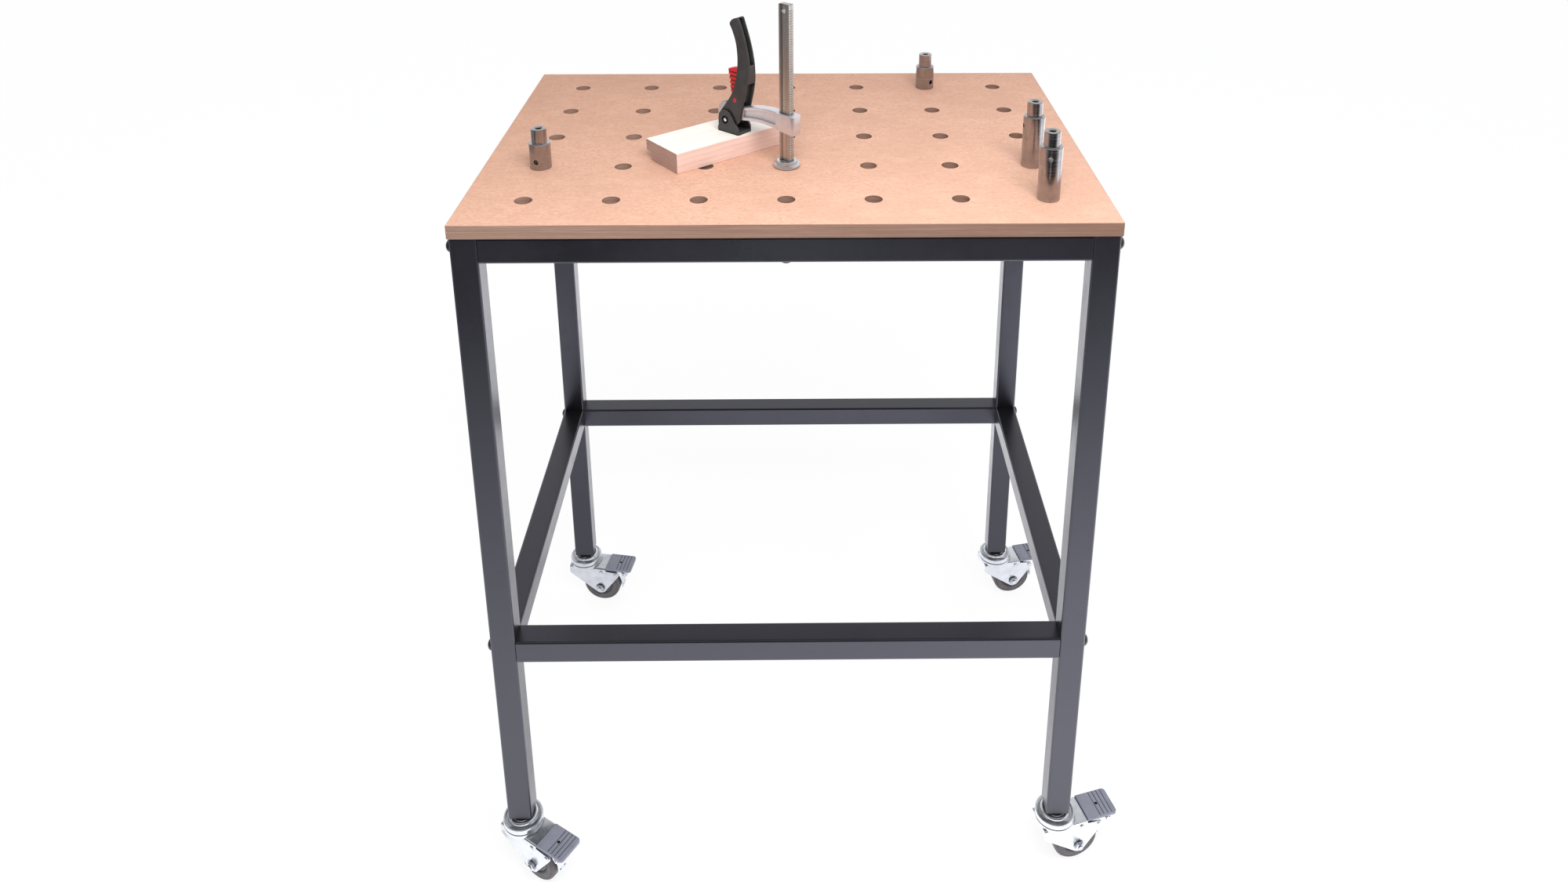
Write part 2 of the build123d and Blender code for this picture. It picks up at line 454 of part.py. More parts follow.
# trigger cavity in the outer face
lever -= slab_xz([(69.6, 61.0), (67.6, 70.0), (66.0, 86.0), (62.6, 101.0), (62.6, 110.6), (95.0, 110.6), (95.0, 61.0)], -3.9, 3.9)
lever -= rod_y(TRIG_PIN[0], TRIG_PIN[1], 2.86, -20, 20)
lever -= rod_y(PIVOT[0], PIVOT[1], PIVOT_R + 0.06, -20, 20)
lever -= rod_y(FOOT_PIN[0], FOOT_PIN[1], FOOT_PIN_R, -20, 20)
save(one(CL * lever), "clamp_lever")

# release trigger on its own moulded stubs
trig_pts = [(69.8, 66.2), (70.6, 63.4), (74.6, 62.6), (78.6, 66.4), (82.4, 72.6), (83.0, 75.0), (83.9, 76.4), (83.2, 78.2), (84.2, 80.0), (84.6, 82.0), (83.4, 84.2),
            (84.6, 86.0), (85.0, 88.2), (83.8, 90.4), (85.2, 92.2), (85.8, 94.6), (84.6, 96.8), (86.4, 98.6), (87.4, 101.0), (86.6, 103.4), (84.0, 105.0), (78.0, 106.6), (72.0, 107.0),
            (70.0, 104.0), (71.0, 95.0), (71.8, 86.0), (71.0, 76.0)]
trig = slab_xz(trig_pts, -3.6, 3.6)
trig += rod_y(TRIG_PIN[0], TRIG_PIN[1], 2.8, -9.3, 9.3)
save(one(CL * trig), "clamp_trigger")

# pressure foot: base pad with two ears outside the lever cheeks
FZ = BLOCK_H + 0.15
ear = [(66.6, FZ), (97.6, FZ), (97.6, 42.5), (96.6, 47.6), (93.6, 51.4), (89.0, 53.4), (84.0, 53.2), (79.6, 50.8), (75.6, 46.0), (70.0, 37.0), (66.0, 31.0)]
foot = Part() + [slab_xz(ear, -12.2, -9.75), slab_xz(ear, 9.75, 12.2)]
foot += slab_xz([(65.4, FZ), (98.0, FZ), (98.0, FZ + 3.2), (65.4, FZ + 3.2)], -12.2, 12.2)
foot += slab_xz([(96.9, FZ), (98.6, FZ), (98.6, 31.4), (96.9, 31.4)], -12.2, 12.2)
foot = rnd(foot, foot.edges().filter_by(Axis.Z).group_by(Axis.X)[0], 3.0)
for s in (-1, 1):
    foot -= rod_y(FOOT_PIN[0], FOOT_PIN[1], FOOT_PIN_R + 0.06, -20, 20)
    foot -= rod_y(FOOT_PIN[0], FOOT_PIN[1], 4.9, 11.1, 20) if s > 0 else rod_y(FOOT_PIN[0], FOOT_PIN[1], 4.9, -20, -11.1)
save(one(CL * foot), "clamp_foot")
fpins = []
for s in (-1, 1):
    pin = spun([(0, 6.6), (FOOT_PIN_R, 6.6), (FOOT_PIN_R, 11.2), (4.7, 11.2), (4.7, 12.0), (4.3, 12.4), (2.4, 12.4), (2.0, 11.5), (0, 11.5)])
    pin = Rot(-90, 0, 0) * pin if s > 0 else Rot(90, 0, 0) * pin
    fpins.append(one(CL * (Pos(FOOT_PIN[0], 0, FOOT_PIN[1]) * pin)))
group(fpins, "clamp_foot_pins")
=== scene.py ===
import json
import math

import bpy
import bmesh
import numpy as np
from mathutils import Matrix, Vector


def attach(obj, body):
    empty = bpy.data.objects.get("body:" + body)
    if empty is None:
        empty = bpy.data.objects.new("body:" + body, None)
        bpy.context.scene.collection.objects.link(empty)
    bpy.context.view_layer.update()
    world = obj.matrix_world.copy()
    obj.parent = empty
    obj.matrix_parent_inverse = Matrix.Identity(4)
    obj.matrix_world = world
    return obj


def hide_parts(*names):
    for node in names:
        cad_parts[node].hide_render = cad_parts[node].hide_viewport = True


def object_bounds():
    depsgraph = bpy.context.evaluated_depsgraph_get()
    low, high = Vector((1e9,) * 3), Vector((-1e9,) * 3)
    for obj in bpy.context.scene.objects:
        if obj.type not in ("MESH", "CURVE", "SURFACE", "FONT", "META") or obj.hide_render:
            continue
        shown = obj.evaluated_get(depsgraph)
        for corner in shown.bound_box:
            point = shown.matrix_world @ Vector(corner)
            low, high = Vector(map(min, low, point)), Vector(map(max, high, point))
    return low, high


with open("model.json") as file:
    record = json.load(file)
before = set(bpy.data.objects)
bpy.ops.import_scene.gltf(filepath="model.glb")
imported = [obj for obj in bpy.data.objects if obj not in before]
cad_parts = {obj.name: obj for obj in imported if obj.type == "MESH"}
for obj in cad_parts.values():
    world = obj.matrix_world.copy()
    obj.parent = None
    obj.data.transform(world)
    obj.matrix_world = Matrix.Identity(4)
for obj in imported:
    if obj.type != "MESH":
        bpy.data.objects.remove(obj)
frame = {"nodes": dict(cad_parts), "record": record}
CAD_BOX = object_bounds()
NODES = frame["nodes"]
scene = bpy.context.scene

MM = 0.001


# ---------------------------------------------------------------- colour and node helpers
def lin(c):
    """sRGB 0..255 to linear RGBA."""
    out = []
    for v in c[:3]:
        v = v / 255.0
        out.append(v / 12.92 if v <= 0.04045 else ((v + 0.055) / 1.055) ** 2.4)
    return (*out, 1.0)


class Mat:
    """A small builder round one Principled shader. Lengths are metres in object space."""

    def __init__(self, name):
        self.m = bpy.data.materials.new(name)
        self.m.use_nodes = True
        self.t = self.m.node_tree
        self.t.nodes.clear()
        self.out = self.new("ShaderNodeOutputMaterial")
        self.p = self.new("ShaderNodeBsdfPrincipled")
        self.t.links.new(self.p.outputs["BSDF"], self.out.inputs["Surface"])
        self.tc = self.new("ShaderNodeTexCoord")
        self.co = self.tc.outputs["Object"]
        self.geo = self.new("ShaderNodeNewGeometry")

    def new(self, kind, **props):
        n = self.t.nodes.new(kind)
        for k, v in props.items():
            setattr(n, k, v)
        return n

    def feed(self, socket, value):
        if isinstance(value, bpy.types.NodeSocket):
            self.t.links.new(value, socket)
        elif value is not None:
            socket.default_value = value
        return socket

    def set(self, **kw):
        for k, v in kw.items():
            self.feed(self.p.inputs[k.replace("_", " ")], v)
        return self

    def mapping(self, vec, scale=(1, 1, 1), rot=(0, 0, 0), loc=(0, 0, 0)):
        n = self.new("ShaderNodeMapping")
        self.feed(n.inputs["Vector"], vec)
        n.inputs["Scale"].default_value = scale
        n.inputs["Rotation"].default_value = rot
        n.inputs["Location"].default_value = loc
        return n.outputs["Vector"]

    def noise(self, vec, scale, detail=2.0, rough=0.5, distortion=0.0):
        n = self.new("ShaderNodeTexNoise")
        self.feed(n.inputs["Vector"], vec)
        n.inputs["Scale"].default_value = scale
        n.inputs["Detail"].default_value = detail
        n.inputs["Roughness"].default_value = rough
        n.inputs["Distortion"].default_value = distortion
        return n.outputs["Fac"]

    def noisec(self, vec, scale, detail=2.0, rough=0.5):
        n = self.new("ShaderNodeTexNoise")
        self.feed(n.inputs["Vector"], vec)
        n.inputs["Scale"].default_value = scale
        n.inputs["Detail"].default_value = detail
        n.inputs["Roughness"].default_value = rough
        return n.outputs["Color"]

    def voronoi(self, vec, scale, feature="F1", randomness=1.0, out="Distance"):
        n = self.new("ShaderNodeTexVoronoi", feature=feature)
        self.feed(n.inputs["Vector"], vec)
        n.inputs["Scale"].default_value = scale
        n.inputs["Randomness"].default_value = randomness
        return n.outputs[out]

    def ramp(self, fac, stops, interp="LINEAR"):
        n = self.new("ShaderNodeValToRGB")
        n.color_ramp.interpolation = interp
        e = n.color_ramp.elements
        while len(e) < len(stops):
            e.new(0.5)
        for el, (pos, col) in zip(e, stops):
            el.position = pos
            if isinstance(col, (int, float)):
                col = (col, col, col, 1.0)
            el.color = col
        self.feed(n.inputs["Fac"], fac)
        return n.outputs["Color"]

    def mix(self, fac, a, b, blend="MIX"):
        n = self.new("ShaderNodeMix", data_type="RGBA", blend_type=blend)
        self.feed(n.inputs[0], fac)
        self.feed(n.inputs[6], a)
        self.feed(n.inputs[7], b)
        return n.outputs[2]

    def math(self, op, a, b=None, c=None, clamp=False):
        n = self.new("ShaderNodeMath", operation=op)
        n.use_clamp = clamp
        self.feed(n.inputs[0], a)
        if b is not None:
            self.feed(n.inputs[1], b)
        if c is not None:
            self.feed(n.inputs[2], c)
        return n.outputs[0]

    def mr(self, v, a, b, c, d, smooth=False):
        n = self.new("ShaderNodeMapRange")
        n.interpolation_type = "SMOOTHSTEP" if smooth else "LINEAR"
        self.feed(n.inputs["Value"], v)
        for key, val in zip(("From Min", "From Max", "To Min", "To Max"), (a, b, c, d)):
            self.feed(n.inputs[key], val)
        return n.outputs["Result"]

    def xyz(self, vec):
        n = self.new("ShaderNodeSeparateXYZ")
        self.feed(n.inputs[0], vec)
        return n.outputs

    def bump(self, height, strength, distance, normal=None):
        n = self.new("ShaderNodeBump")
        n.inputs["Strength"].default_value = strength
        n.inputs["Distance"].default_value = distance
        self.feed(n.inputs["Height"], height)
        if normal is not None:
            self.feed(n.inputs["Normal"], normal)
        return n.outputs["Normal"]

    def rounded(self, radius, samples=4):
        n = self.new("ShaderNodeBevel")
        n.samples = samples
        n.inputs["Radius"].default_value = radius
        return n.outputs["Normal"]

    def edge(self, rounded_normal, lo=0.02, hi=0.25):
        """0 on flats, towards 1 on edges, from how far the rounded normal leaves the flat one."""
        n = self.new("ShaderNodeVectorMath", operation="DOT_PRODUCT")
        self.feed(n.inputs[0], rounded_normal)
        self.feed(n.inputs[1], self.geo.outputs["Normal"])
        gap = self.math("SUBTRACT", 1.0, n.outputs["Value"])
        return self.mr(gap, lo, hi, 0.0, 1.0)


def crevice_shade(k, dist, lo=0.45, hi=0.95):
    """Mask for painted shade: 1 in tight corners and slots, 0 on open faces."""
    n = k.t.nodes.new("ShaderNodeAmbientOcclusion")
    n.inputs["Distance"].default_value = dist
    n.samples = 6
    return k.mr(n.outputs["AO"], lo, hi, 1.0, 0.0)


MATS = {}


# ---------------------------------------------------------------- materials, one per finish slot
def make_mdf():
    k = Mat("mdf_board")
    n = k.xyz(k.geo.outputs["Normal"])
    up = k.math("ABSOLUTE", n[2])
    face = k.mr(up, 0.80, 0.95, 0.0, 1.0)
    # face fibres: short, lying mostly along X
    f1 = k.noise(k.mapping(k.co, scale=(210, 440, 400)), 1.0, 4, 0.64, 0.6)
    f2 = k.noise(k.mapping(k.co, scale=(420, 1500, 900)), 1.0, 3, 0.6)
    f3 = k.noise(k.mapping(k.co, scale=(60, 170, 150), loc=(4, 2, 1)), 1.0, 4, 0.62)
    big = k.noise(k.mapping(k.co, scale=(7, 11, 7), loc=(0.3, 0.1, 0)), 1.0, 3, 0.55)
    mid = k.noise(k.mapping(k.co, scale=(28, 46, 30)), 1.0, 3, 0.6)
    fleck = k.noise(k.mapping(k.co, scale=(150, 420, 300), loc=(3, 1, 2)), 1.0, 2, 0.5)
    col = k.ramp(
        f1,
        [
            (0.32, (0.455, 0.252, 0.170, 1)),
            (0.50, (0.605, 0.352, 0.248, 1)),
            (0.68, (0.720, 0.436, 0.314, 1)),
        ],
    )
    col = k.mix(k.mr(f2, 0.38, 0.66, 0.0, 0.45), col, (0.72, 0.445, 0.325, 1))
    col = k.mix(k.mr(f3, 0.48, 0.66, 0.0, 0.50), col, (0.520, 0.292, 0.200, 1))
    col = k.mix(k.mr(big, 0.36, 0.62, 0.0, 0.50), col, (0.540, 0.312, 0.218, 1))
    col = k.mix(k.mr(mid, 0.50, 0.72, 0.0, 0.34), col, (0.72, 0.440, 0.325, 1))
    col = k.mix(k.mr(fleck, 0.66, 0.74, 0.0, 0.60), col, (0.34, 0.18, 0.115, 1))
    # painted light: the board is painted paler towards the front and to the right and darker towards the back and left,
    # for the light's fall-off
    pos = k.xyz(k.co)
    col = k.mix(1.0, col, k.mix(k.mr(pos[1], -0.27, 0.27, 0.0, 1.0), (1.11, 1.12, 1.15, 1), (0.91, 0.89, 0.90, 1)), "MULTIPLY")
    col = k.mix(1.0, col, k.mix(k.mr(pos[0], -0.35, 0.35, 0.0, 1.0), (0.96, 0.96, 0.95, 1), (1.05, 1.07, 1.09, 1)), "MULTIPLY")
    # sawn edge and hole walls: denser, browner, in thin layers along the board
    l1 = k.noise(k.mapping(k.co, scale=(9, 9, 900)), 1.0, 4, 0.6)
    l2 = k.noise(k.mapping(k.co, scale=(60, 60, 420), loc=(1, 2, 0)), 1.0, 4, 0.65)
    edge = k.ramp(
        l1,
        [
            (0.28, (0.185, 0.112, 0.086, 1)),
            (0.50, (0.250, 0.156, 0.120, 1)),
            (0.74, (0.315, 0.205, 0.162, 1)),
        ],
    )
    edge = k.mix(k.mr(l2, 0.40, 0.70, 0.0, 0.6), edge, (0.220, 0.132, 0.100, 1))
    # painted shading: the sawn edge and hole walls are painted lighter towards the left and darker towards the right
    edge = k.mix(1.0, edge, k.mix(k.mr(pos[0], -0.34, 0.34, 0.0, 1.0), (1.22, 1.24, 1.24, 1), (0.90, 0.85, 0.83, 1)), "MULTIPLY")
    c = k.mix(face, edge, col)
    # painted shade: the underside is painted darker and duller, as it lies in the board's own shadow
    underside_shade = k.mr(n[2], -0.95, -0.80, 1.0, 0.0)
    c = k.mix(underside_shade, c, k.mix(0.6, col, (0.20, 0.15, 0.125, 1)))
    # painted reflection: shiny parts below mirror the shaded underside as a plain grey
    lp = k.t.nodes.new("ShaderNodeLightPath")
    c = k.mix(k.math("MULTIPLY", underside_shade, lp.outputs["Is Glossy Ray"]), c, (0.10, 0.118, 0.128, 1))
    rough = k.mix(face, (0.86, 0.86, 0.86, 1), (0.62, 0.62, 0.62, 1))
    rough = k.mix(k.mr(f1, 0.3, 0.7, 0.0, 0.5), rough, (0.78, 0.78, 0.78, 1))
    h = k.math(
        "ADD",
        k.math("MULTIPLY", f1, 0.6),
        k.math("ADD", k.math("MULTIPLY", f2, 0.4), k.math("MULTIPLY", l1, k.math("SUBTRACT", 1.0, face))),
    )
    k.set(Base_Color=c, Roughness=rough, Normal=k.bump(h, 0.35, 0.00012), Specular_IOR_Level=0.25)
    return k.m


def make_powder():
    k = Mat("powder_coat")
    rn = k.rounded(0.0006, 4)
    peel = k.noise(k.co, 1400, 2, 0.5)
    fine = k.noise(k.co, 5200, 2, 0.5)
    big = k.noise(k.co, 9, 3, 0.55)
    dust = k.noise(k.co, 2600, 1, 0.4)
    rub = k.noise(k.mapping(k.co, scale=(60, 60, 60)), 1.0, 4, 0.7)
    col = k.ramp(
        big, [(0.32, (0.0055, 0.0058, 0.0072, 1)), (0.70, (0.0080, 0.0083, 0.0100, 1))]
    )
    col = k.mix(k.mr(fine, 0.55, 0.75, 0.0, 0.45), col, (0.017, 0.017, 0.020, 1))
    col = k.mix(k.mr(dust, 0.735, 0.76, 0.0, 0.7), col, (0.13, 0.13, 0.135, 1))
    wear = k.math("MULTIPLY", k.edge(rn, 0.03, 0.4), k.mr(rub, 0.42, 0.66, 0.15, 1.0))
    col = k.mix(k.math("MULTIPLY", wear, 0.5), col, (0.075, 0.076, 0.083, 1))
    rough = k.ramp(big, [(0.3, 0.27), (0.7, 0.33)])
    rough = k.mix(k.mr(rub, 0.52, 0.72, 0.0, 0.6), rough, (0.40, 0.40, 0.40, 1))
    h = k.math("ADD", k.math("MULTIPLY", peel, 1.0), k.math("MULTIPLY", fine, 0.35))
    k.set(Base_Color=col, Roughness=rough, Normal=k.bump(h, 0.20, 0.00009, rn), Specular_IOR_Level=0.64)
    k.p.inputs["Specular Tint"].default_value = (0.95, 0.94, 1.16, 1)
    return k.m


def make_black_fastener():
    k = Mat("black_oxide")
    rn = k.rounded(0.0004, 4)
    a = k.noise(k.co, 900, 3, 0.6)
    b = k.noise(k.co, 3200, 2, 0.5)
    col = k.ramp(a, [(0.3, (0.012, 0.012, 0.013, 1)), (0.7, (0.030, 0.029, 0.030, 1))])
    # painted highlight: every edge is painted lighter
    col = k.mix(k.math("MULTIPLY", k.edge(rn, 0.03, 0.4), 0.55), col, (0.16, 0.155, 0.15, 1))
    k.set(
        Base_Color=col,
        Metallic=0.35,
        Roughness=k.ramp(b, [(0.3, 0.30), (0.7, 0.48)]),
        Normal=k.bump(b, 0.2, 0.00006, rn),
        Specular_IOR_Level=0.6,
    )
    return k.m


def make_plain_steel():
    k = Mat("plain_steel")
    rn = k.rounded(0.0003, 4)
    a = k.noise(k.co, 300, 4, 0.6)
    b = k.noise(k.co, 2400, 3, 0.6)
    col = k.ramp(a, [(0.3, (0.36, 0.36, 0.36, 1)), (0.7, (0.50, 0.50, 0.505, 1))])
    col = k.mix(k.mr(b, 0.58, 0.72, 0.0, 0.5), col, (0.25, 0.235, 0.22, 1))
    k.set(
        Base_Color=col,
        Metallic=1.0,
        Roughness=k.ramp(b, [(0.3, 0.26), (0.7, 0.42)]),
        Normal=k.bump(b, 0.2, 0.00005, rn),
    )
    return k.m


def make_plug():
    k = Mat("plug_plastic")
    rn = k.rounded(0.0005, 4)
    a = k.noise(k.co, 60, 3, 0.6)
    b = k.noise(k.co, 3800, 2, 0.5)
    col = k.ramp(a, [(0.3, (0.010, 0.010, 0.011, 1)), (0.7, (0.018, 0.018, 0.019, 1))])
    # painted highlight: every edge is painted lighter
    col = k.mix(k.math("MULTIPLY", k.edge(rn, 0.03, 0.4), 0.5), col, (0.06, 0.06, 0.062, 1))
    k.set(
        Base_Color=col,
        Roughness=k.ramp(a, [(0.3, 0.34), (0.7, 0.46)]),
        Normal=k.bump(b, 0.25, 0.00006, rn),
        Specular_IOR_Level=0.5,
    )
    return k.m


def make_hole_shade():
    # painted shade: a near-black with little shine, set where a hole lies in shadow
    k = Mat("bush_black")
    rn = k.rounded(0.0003, 4)
    a = k.noise(k.co, 700, 3, 0.6)
    col = k.ramp(a, [(0.3, (0.0012, 0.0012, 0.0012, 1)), (0.7, (0.0030, 0.0029, 0.0028, 1))])
    k.set(Base_Color=col, Roughness=k.ramp(a, [(0.3, 0.55), (0.7, 0.75)]), Normal=k.bump(a, 0.2, 0.00005, rn), Specular_IOR_Level=0.12)
    return k.m


def make_pin_bright():
    k = Mat("pin_bright")
    rn = k.rounded(0.0002, 4)
    a = k.noise(k.co, 900, 3, 0.6)
    col = k.ramp(a, [(0.3, (0.62, 0.62, 0.62, 1)), (0.7, (0.82, 0.82, 0.825, 1))])
    k.set(Base_Color=col, Metallic=1.0, Roughness=k.ramp(a, [(0.3, 0.16), (0.7, 0.30)]), Normal=k.bump(a, 0.25, 0.00006, rn))
    return k.m


def make_bright_zinc():
    k = Mat("bright_zinc")
    rn = k.rounded(0.0005, 4)
    a = k.noise(k.co, 90, 3, 0.55)
    b = k.noise(k.co, 2600, 3, 0.6)
    draw = k.noise(k.mapping(k.co, scale=(500, 500, 60)), 1.0, 3, 0.6)
    col = k.ramp(
        a,
        [
            (0.28, (0.51, 0.530, 0.570, 1)),
            (0.52, (0.58, 0.600, 0.635, 1)),
            (0.75, (0.63, 0.650, 0.680, 1)),
        ],
    )
    col = k.mix(k.mr(draw, 0.55, 0.75, 0.0, 0.16), col, (0.52, 0.540, 0.575, 1))
    col = k.mix(k.mr(b, 0.68, 0.76, 0.0, 0.30), col, (0.45, 0.46, 0.49, 1))
    # painted highlight: every edge is painted near white
    col = k.mix(k.math("MULTIPLY", k.edge(rn, 0.03, 0.4), 0.6), col, (0.86, 0.87, 0.89, 1))
    # painted shade: seams and tight corners between parts are painted dark
    col = k.mix(k.math("MULTIPLY", crevice_shade(k, 0.0030), 0.80), col, (0.10, 0.105, 0.12, 1))
    k.set(
        Base_Color=col,
        Metallic=0.92,
        Roughness=k.mix(k.mr(draw, 0.4, 0.7, 0, 0.35), k.ramp(a, [(0.3, 0.17), (0.7, 0.24)]), (0.30, 0.30, 0.30, 1)),
        Normal=k.bump(k.math("ADD", k.math("MULTIPLY", a, 0.5), k.math("MULTIPLY", b, 0.2)), 0.10, 0.00008, rn),
    )
    return k.m


def make_tyre():
    k = Mat("tyre_rubber")
    rn = k.rounded(0.0005, 4)
    a = k.noise(k.co, 70, 4, 0.65)
    b = k.noise(k.co, 1800, 3, 0.6)
    c = k.noise(k.mapping(k.co, scale=(260, 260, 90)), 1.0, 3, 0.7)
    col = k.ramp(a, [(0.3, (0.080, 0.073, 0.078, 1)), (0.7, (0.135, 0.125, 0.132, 1))])
    col = k.mix(k.mr(b, 0.55, 0.72, 0.0, 0.5), col, (0.15, 0.138, 0.136, 1))
    col = k.mix(k.mr(c, 0.60, 0.72, 0.0, 0.4), col, (0.19, 0.175, 0.165, 1))
    k.set(
        Base_Color=col,
        Roughness=k.ramp(b, [(0.3, 0.46), (0.7, 0.66)]),
        Normal=k.bump(k.math("ADD", b, k.math("MULTIPLY", c, 0.6)), 0.3, 0.00012, rn),
        Specular_IOR_Level=0.5,
    )
    return k.m


def make_hub():
    k = Mat("hub_plastic")
    rn = k.rounded(0.0005, 4)
    a = k.noise(k.co, 90, 3, 0.6)
    b = k.noise(k.co, 2600, 2, 0.5)
    col = k.ramp(a, [(0.3, (0.085, 0.083, 0.090, 1)), (0.7, (0.125, 0.122, 0.130, 1))])
    # painted highlight: every edge is painted lighter
    col = k.mix(k.math("MULTIPLY", k.edge(rn, 0.03, 0.4), 0.5), col, (0.22, 0.22, 0.23, 1))
    k.set(
        Base_Color=col,
        Roughness=k.ramp(b, [(0.3, 0.34), (0.7, 0.50)]),
        Normal=k.bump(b, 0.22, 0.00006, rn),
        Specular_IOR_Level=0.5,
    )
    return k.m


def make_pedal():
    k = Mat("pedal_plastic")
    rn = k.rounded(0.0005, 4)
    a = k.noise(k.co, 80, 4, 0.6)
    b = k.noise(k.co, 2600, 3, 0.55)
    col = k.ramp(a, [(0.3, (0.215, 0.228, 0.290, 1)), (0.7, (0.262, 0.277, 0.345, 1))])
    col = k.mix(k.mr(b, 0.60, 0.74, 0.0, 0.35), col, (0.15, 0.155, 0.19, 1))
    # painted highlight: every edge is painted lighter
    col = k.mix(k.math("MULTIPLY", k.edge(rn, 0.03, 0.4), 0.5), col, (0.42, 0.44, 0.50, 1))
    # painted shade: the hole, grooves and tight corners are painted near black
    col = k.mix(crevice_shade(k, 0.0014, 0.40, 0.85), col, (0.004, 0.004, 0.008, 1))
    k.set(
        Base_Color=col,
        Roughness=k.ramp(b, [(0.3, 0.36), (0.7, 0.52)]),
        Normal=k.bump(b, 0.22, 0.00007, rn),
        Specular_IOR_Level=0.5,
    )
    return k.m


def make_turned():
    k = Mat("turned_steel")
    rn = k.rounded(0.0003, 4)
    rings = k.noise(k.mapping(k.co, scale=(6, 6, 9000)), 1.0, 2, 0.6)
    rings2 = k.noise(k.mapping(k.co, scale=(3, 3, 1100), loc=(0, 0, 4)), 1.0, 3, 0.6)
    a = k.noise(k.co, 70, 4, 0.6)
    st = k.noise(k.mapping(k.co, scale=(320, 320, 60), loc=(5, 1, 2)), 1.0, 4, 0.7)
    col = k.ramp(a, [(0.3, (0.30, 0.285, 0.290, 1)), (0.7, (0.41, 0.395, 0.400, 1))])
    col = k.mix(k.mr(rings2, 0.45, 0.70, 0.0, 0.35), col, (0.56, 0.55, 0.560, 1))
    col = k.mix(k.mr(st, 0.62, 0.72, 0.0, 0.4), col, (0.17, 0.15, 0.145, 1))
    k.set(
        Base_Color=col,
        Metallic=1.0,
        Roughness=k.ramp(rings2, [(0.3, 0.17), (0.7, 0.27)]),
        Normal=k.bump(k.math("ADD", rings, k.math("MULTIPLY", rings2, 0.8)), 0.16, 0.00004, rn),
    )
    return k.m


def make_pine():
    k = Mat("pine")
    yaw = math.radians(38.7)
    v = k.mapping(k.co, rot=(0, 0, -yaw))
    s = k.xyz(v)
    # growth rings about an axis along the block, off to one side of it
    wob = k.noise(k.mapping(v, scale=(7, 40, 40)), 1.0, 3, 0.5)
    yy = k.math("ADD", k.math("SUBTRACT", s[1], 0.055), k.math("MULTIPLY", wob, 0.020))
    zz = k.math("ADD", k.math("ADD", s[2], 0.055), k.math("MULTIPLY", wob, 0.008))
    r = k.math("SQRT", k.math("ADD", k.math("MULTIPLY", yy, yy), k.math("MULTIPLY", zz, zz)))
    ring = k.math("FRACT", k.math("MULTIPLY", r, 205.0))
    late = k.ramp(ring, [(0.0, 0.0), (0.55, 0.10), (0.86, 1.0), (0.93, 0.9), (1.0, 0.0)])
    fib = k.noise(k.mapping(v, scale=(45, 1500, 1500)), 1.0, 3, 0.6)
    fib2 = k.noise(k.mapping(v, scale=(14, 260, 260), loc=(0, 3, 1)), 1.0, 3, 0.6)
    big = k.noise(k.mapping(v, scale=(14, 30, 60), loc=(2, 0, 1)), 1.0, 3, 0.5)
    n = k.xyz(k.mapping(k.geo.outputs["Normal"], rot=(0, 0, -yaw)))
    top = k.mr(n[2], 0.7, 0.95, 0.0, 1.0)
    end = k.mr(k.math("ABSOLUTE", n[0]), 0.75, 0.95, 0.0, 1.0)
    body = k.ramp(big, [(0.3, (0.66, 0.460, 0.400, 1)), (0.7, (0.76, 0.570, 0.515, 1))])
    body = k.mix(k.math("MULTIPLY", k.mr(late, 0, 1, 0, 1), 0.26), body, (0.50, 0.290, 0.225, 1))
    # the top face is painted paler and creamier than the sawn sides: partly planed-face tone, partly painted light from
    # above
    face = k.ramp(big, [(0.3, (0.82, 0.755, 0.700, 1)), (0.7, (0.88, 0.830, 0.790, 1))])
    face = k.mix(k.math("MULTIPLY", k.mr(late, 0, 1, 0, 1), 0.16), face, (0.76, 0.64, 0.53, 1))
    cut = k.ramp(big, [(0.3, (0.37, 0.245, 0.210, 1)), (0.7, (0.44, 0.305, 0.265, 1))])
    cut = k.mix(k.math("MULTIPLY", k.mr(late, 0, 1, 0, 1), 0.55), cut, (0.25, 0.145, 0.110, 1))
    c = k.mix(top, body, face)
    c = k.mix(end, c, cut)
    c = k.mix(k.mr(fib, 0.52, 0.76, 0.0, 0.30), c, (0.60, 0.43, 0.36, 1))
    c = k.mix(k.math("MULTIPLY", k.mr(fib2, 0.56, 0.74, 0.0, 0.30), k.math("SUBTRACT", 1.0, end)), c, (0.90, 0.78, 0.70, 1))
    k.set(
        Base_Color=c,
        Roughness=k.ramp(fib, [(0.3, 0.55), (0.7, 0.72)]),
        Normal=k.bump(k.math("ADD", fib, k.math("MULTIPLY", late, 0.4)), 0.25, 0.00010, k.rounded(0.0005, 4)),
        Specular_IOR_Level=0.30,
    )
    return k.m


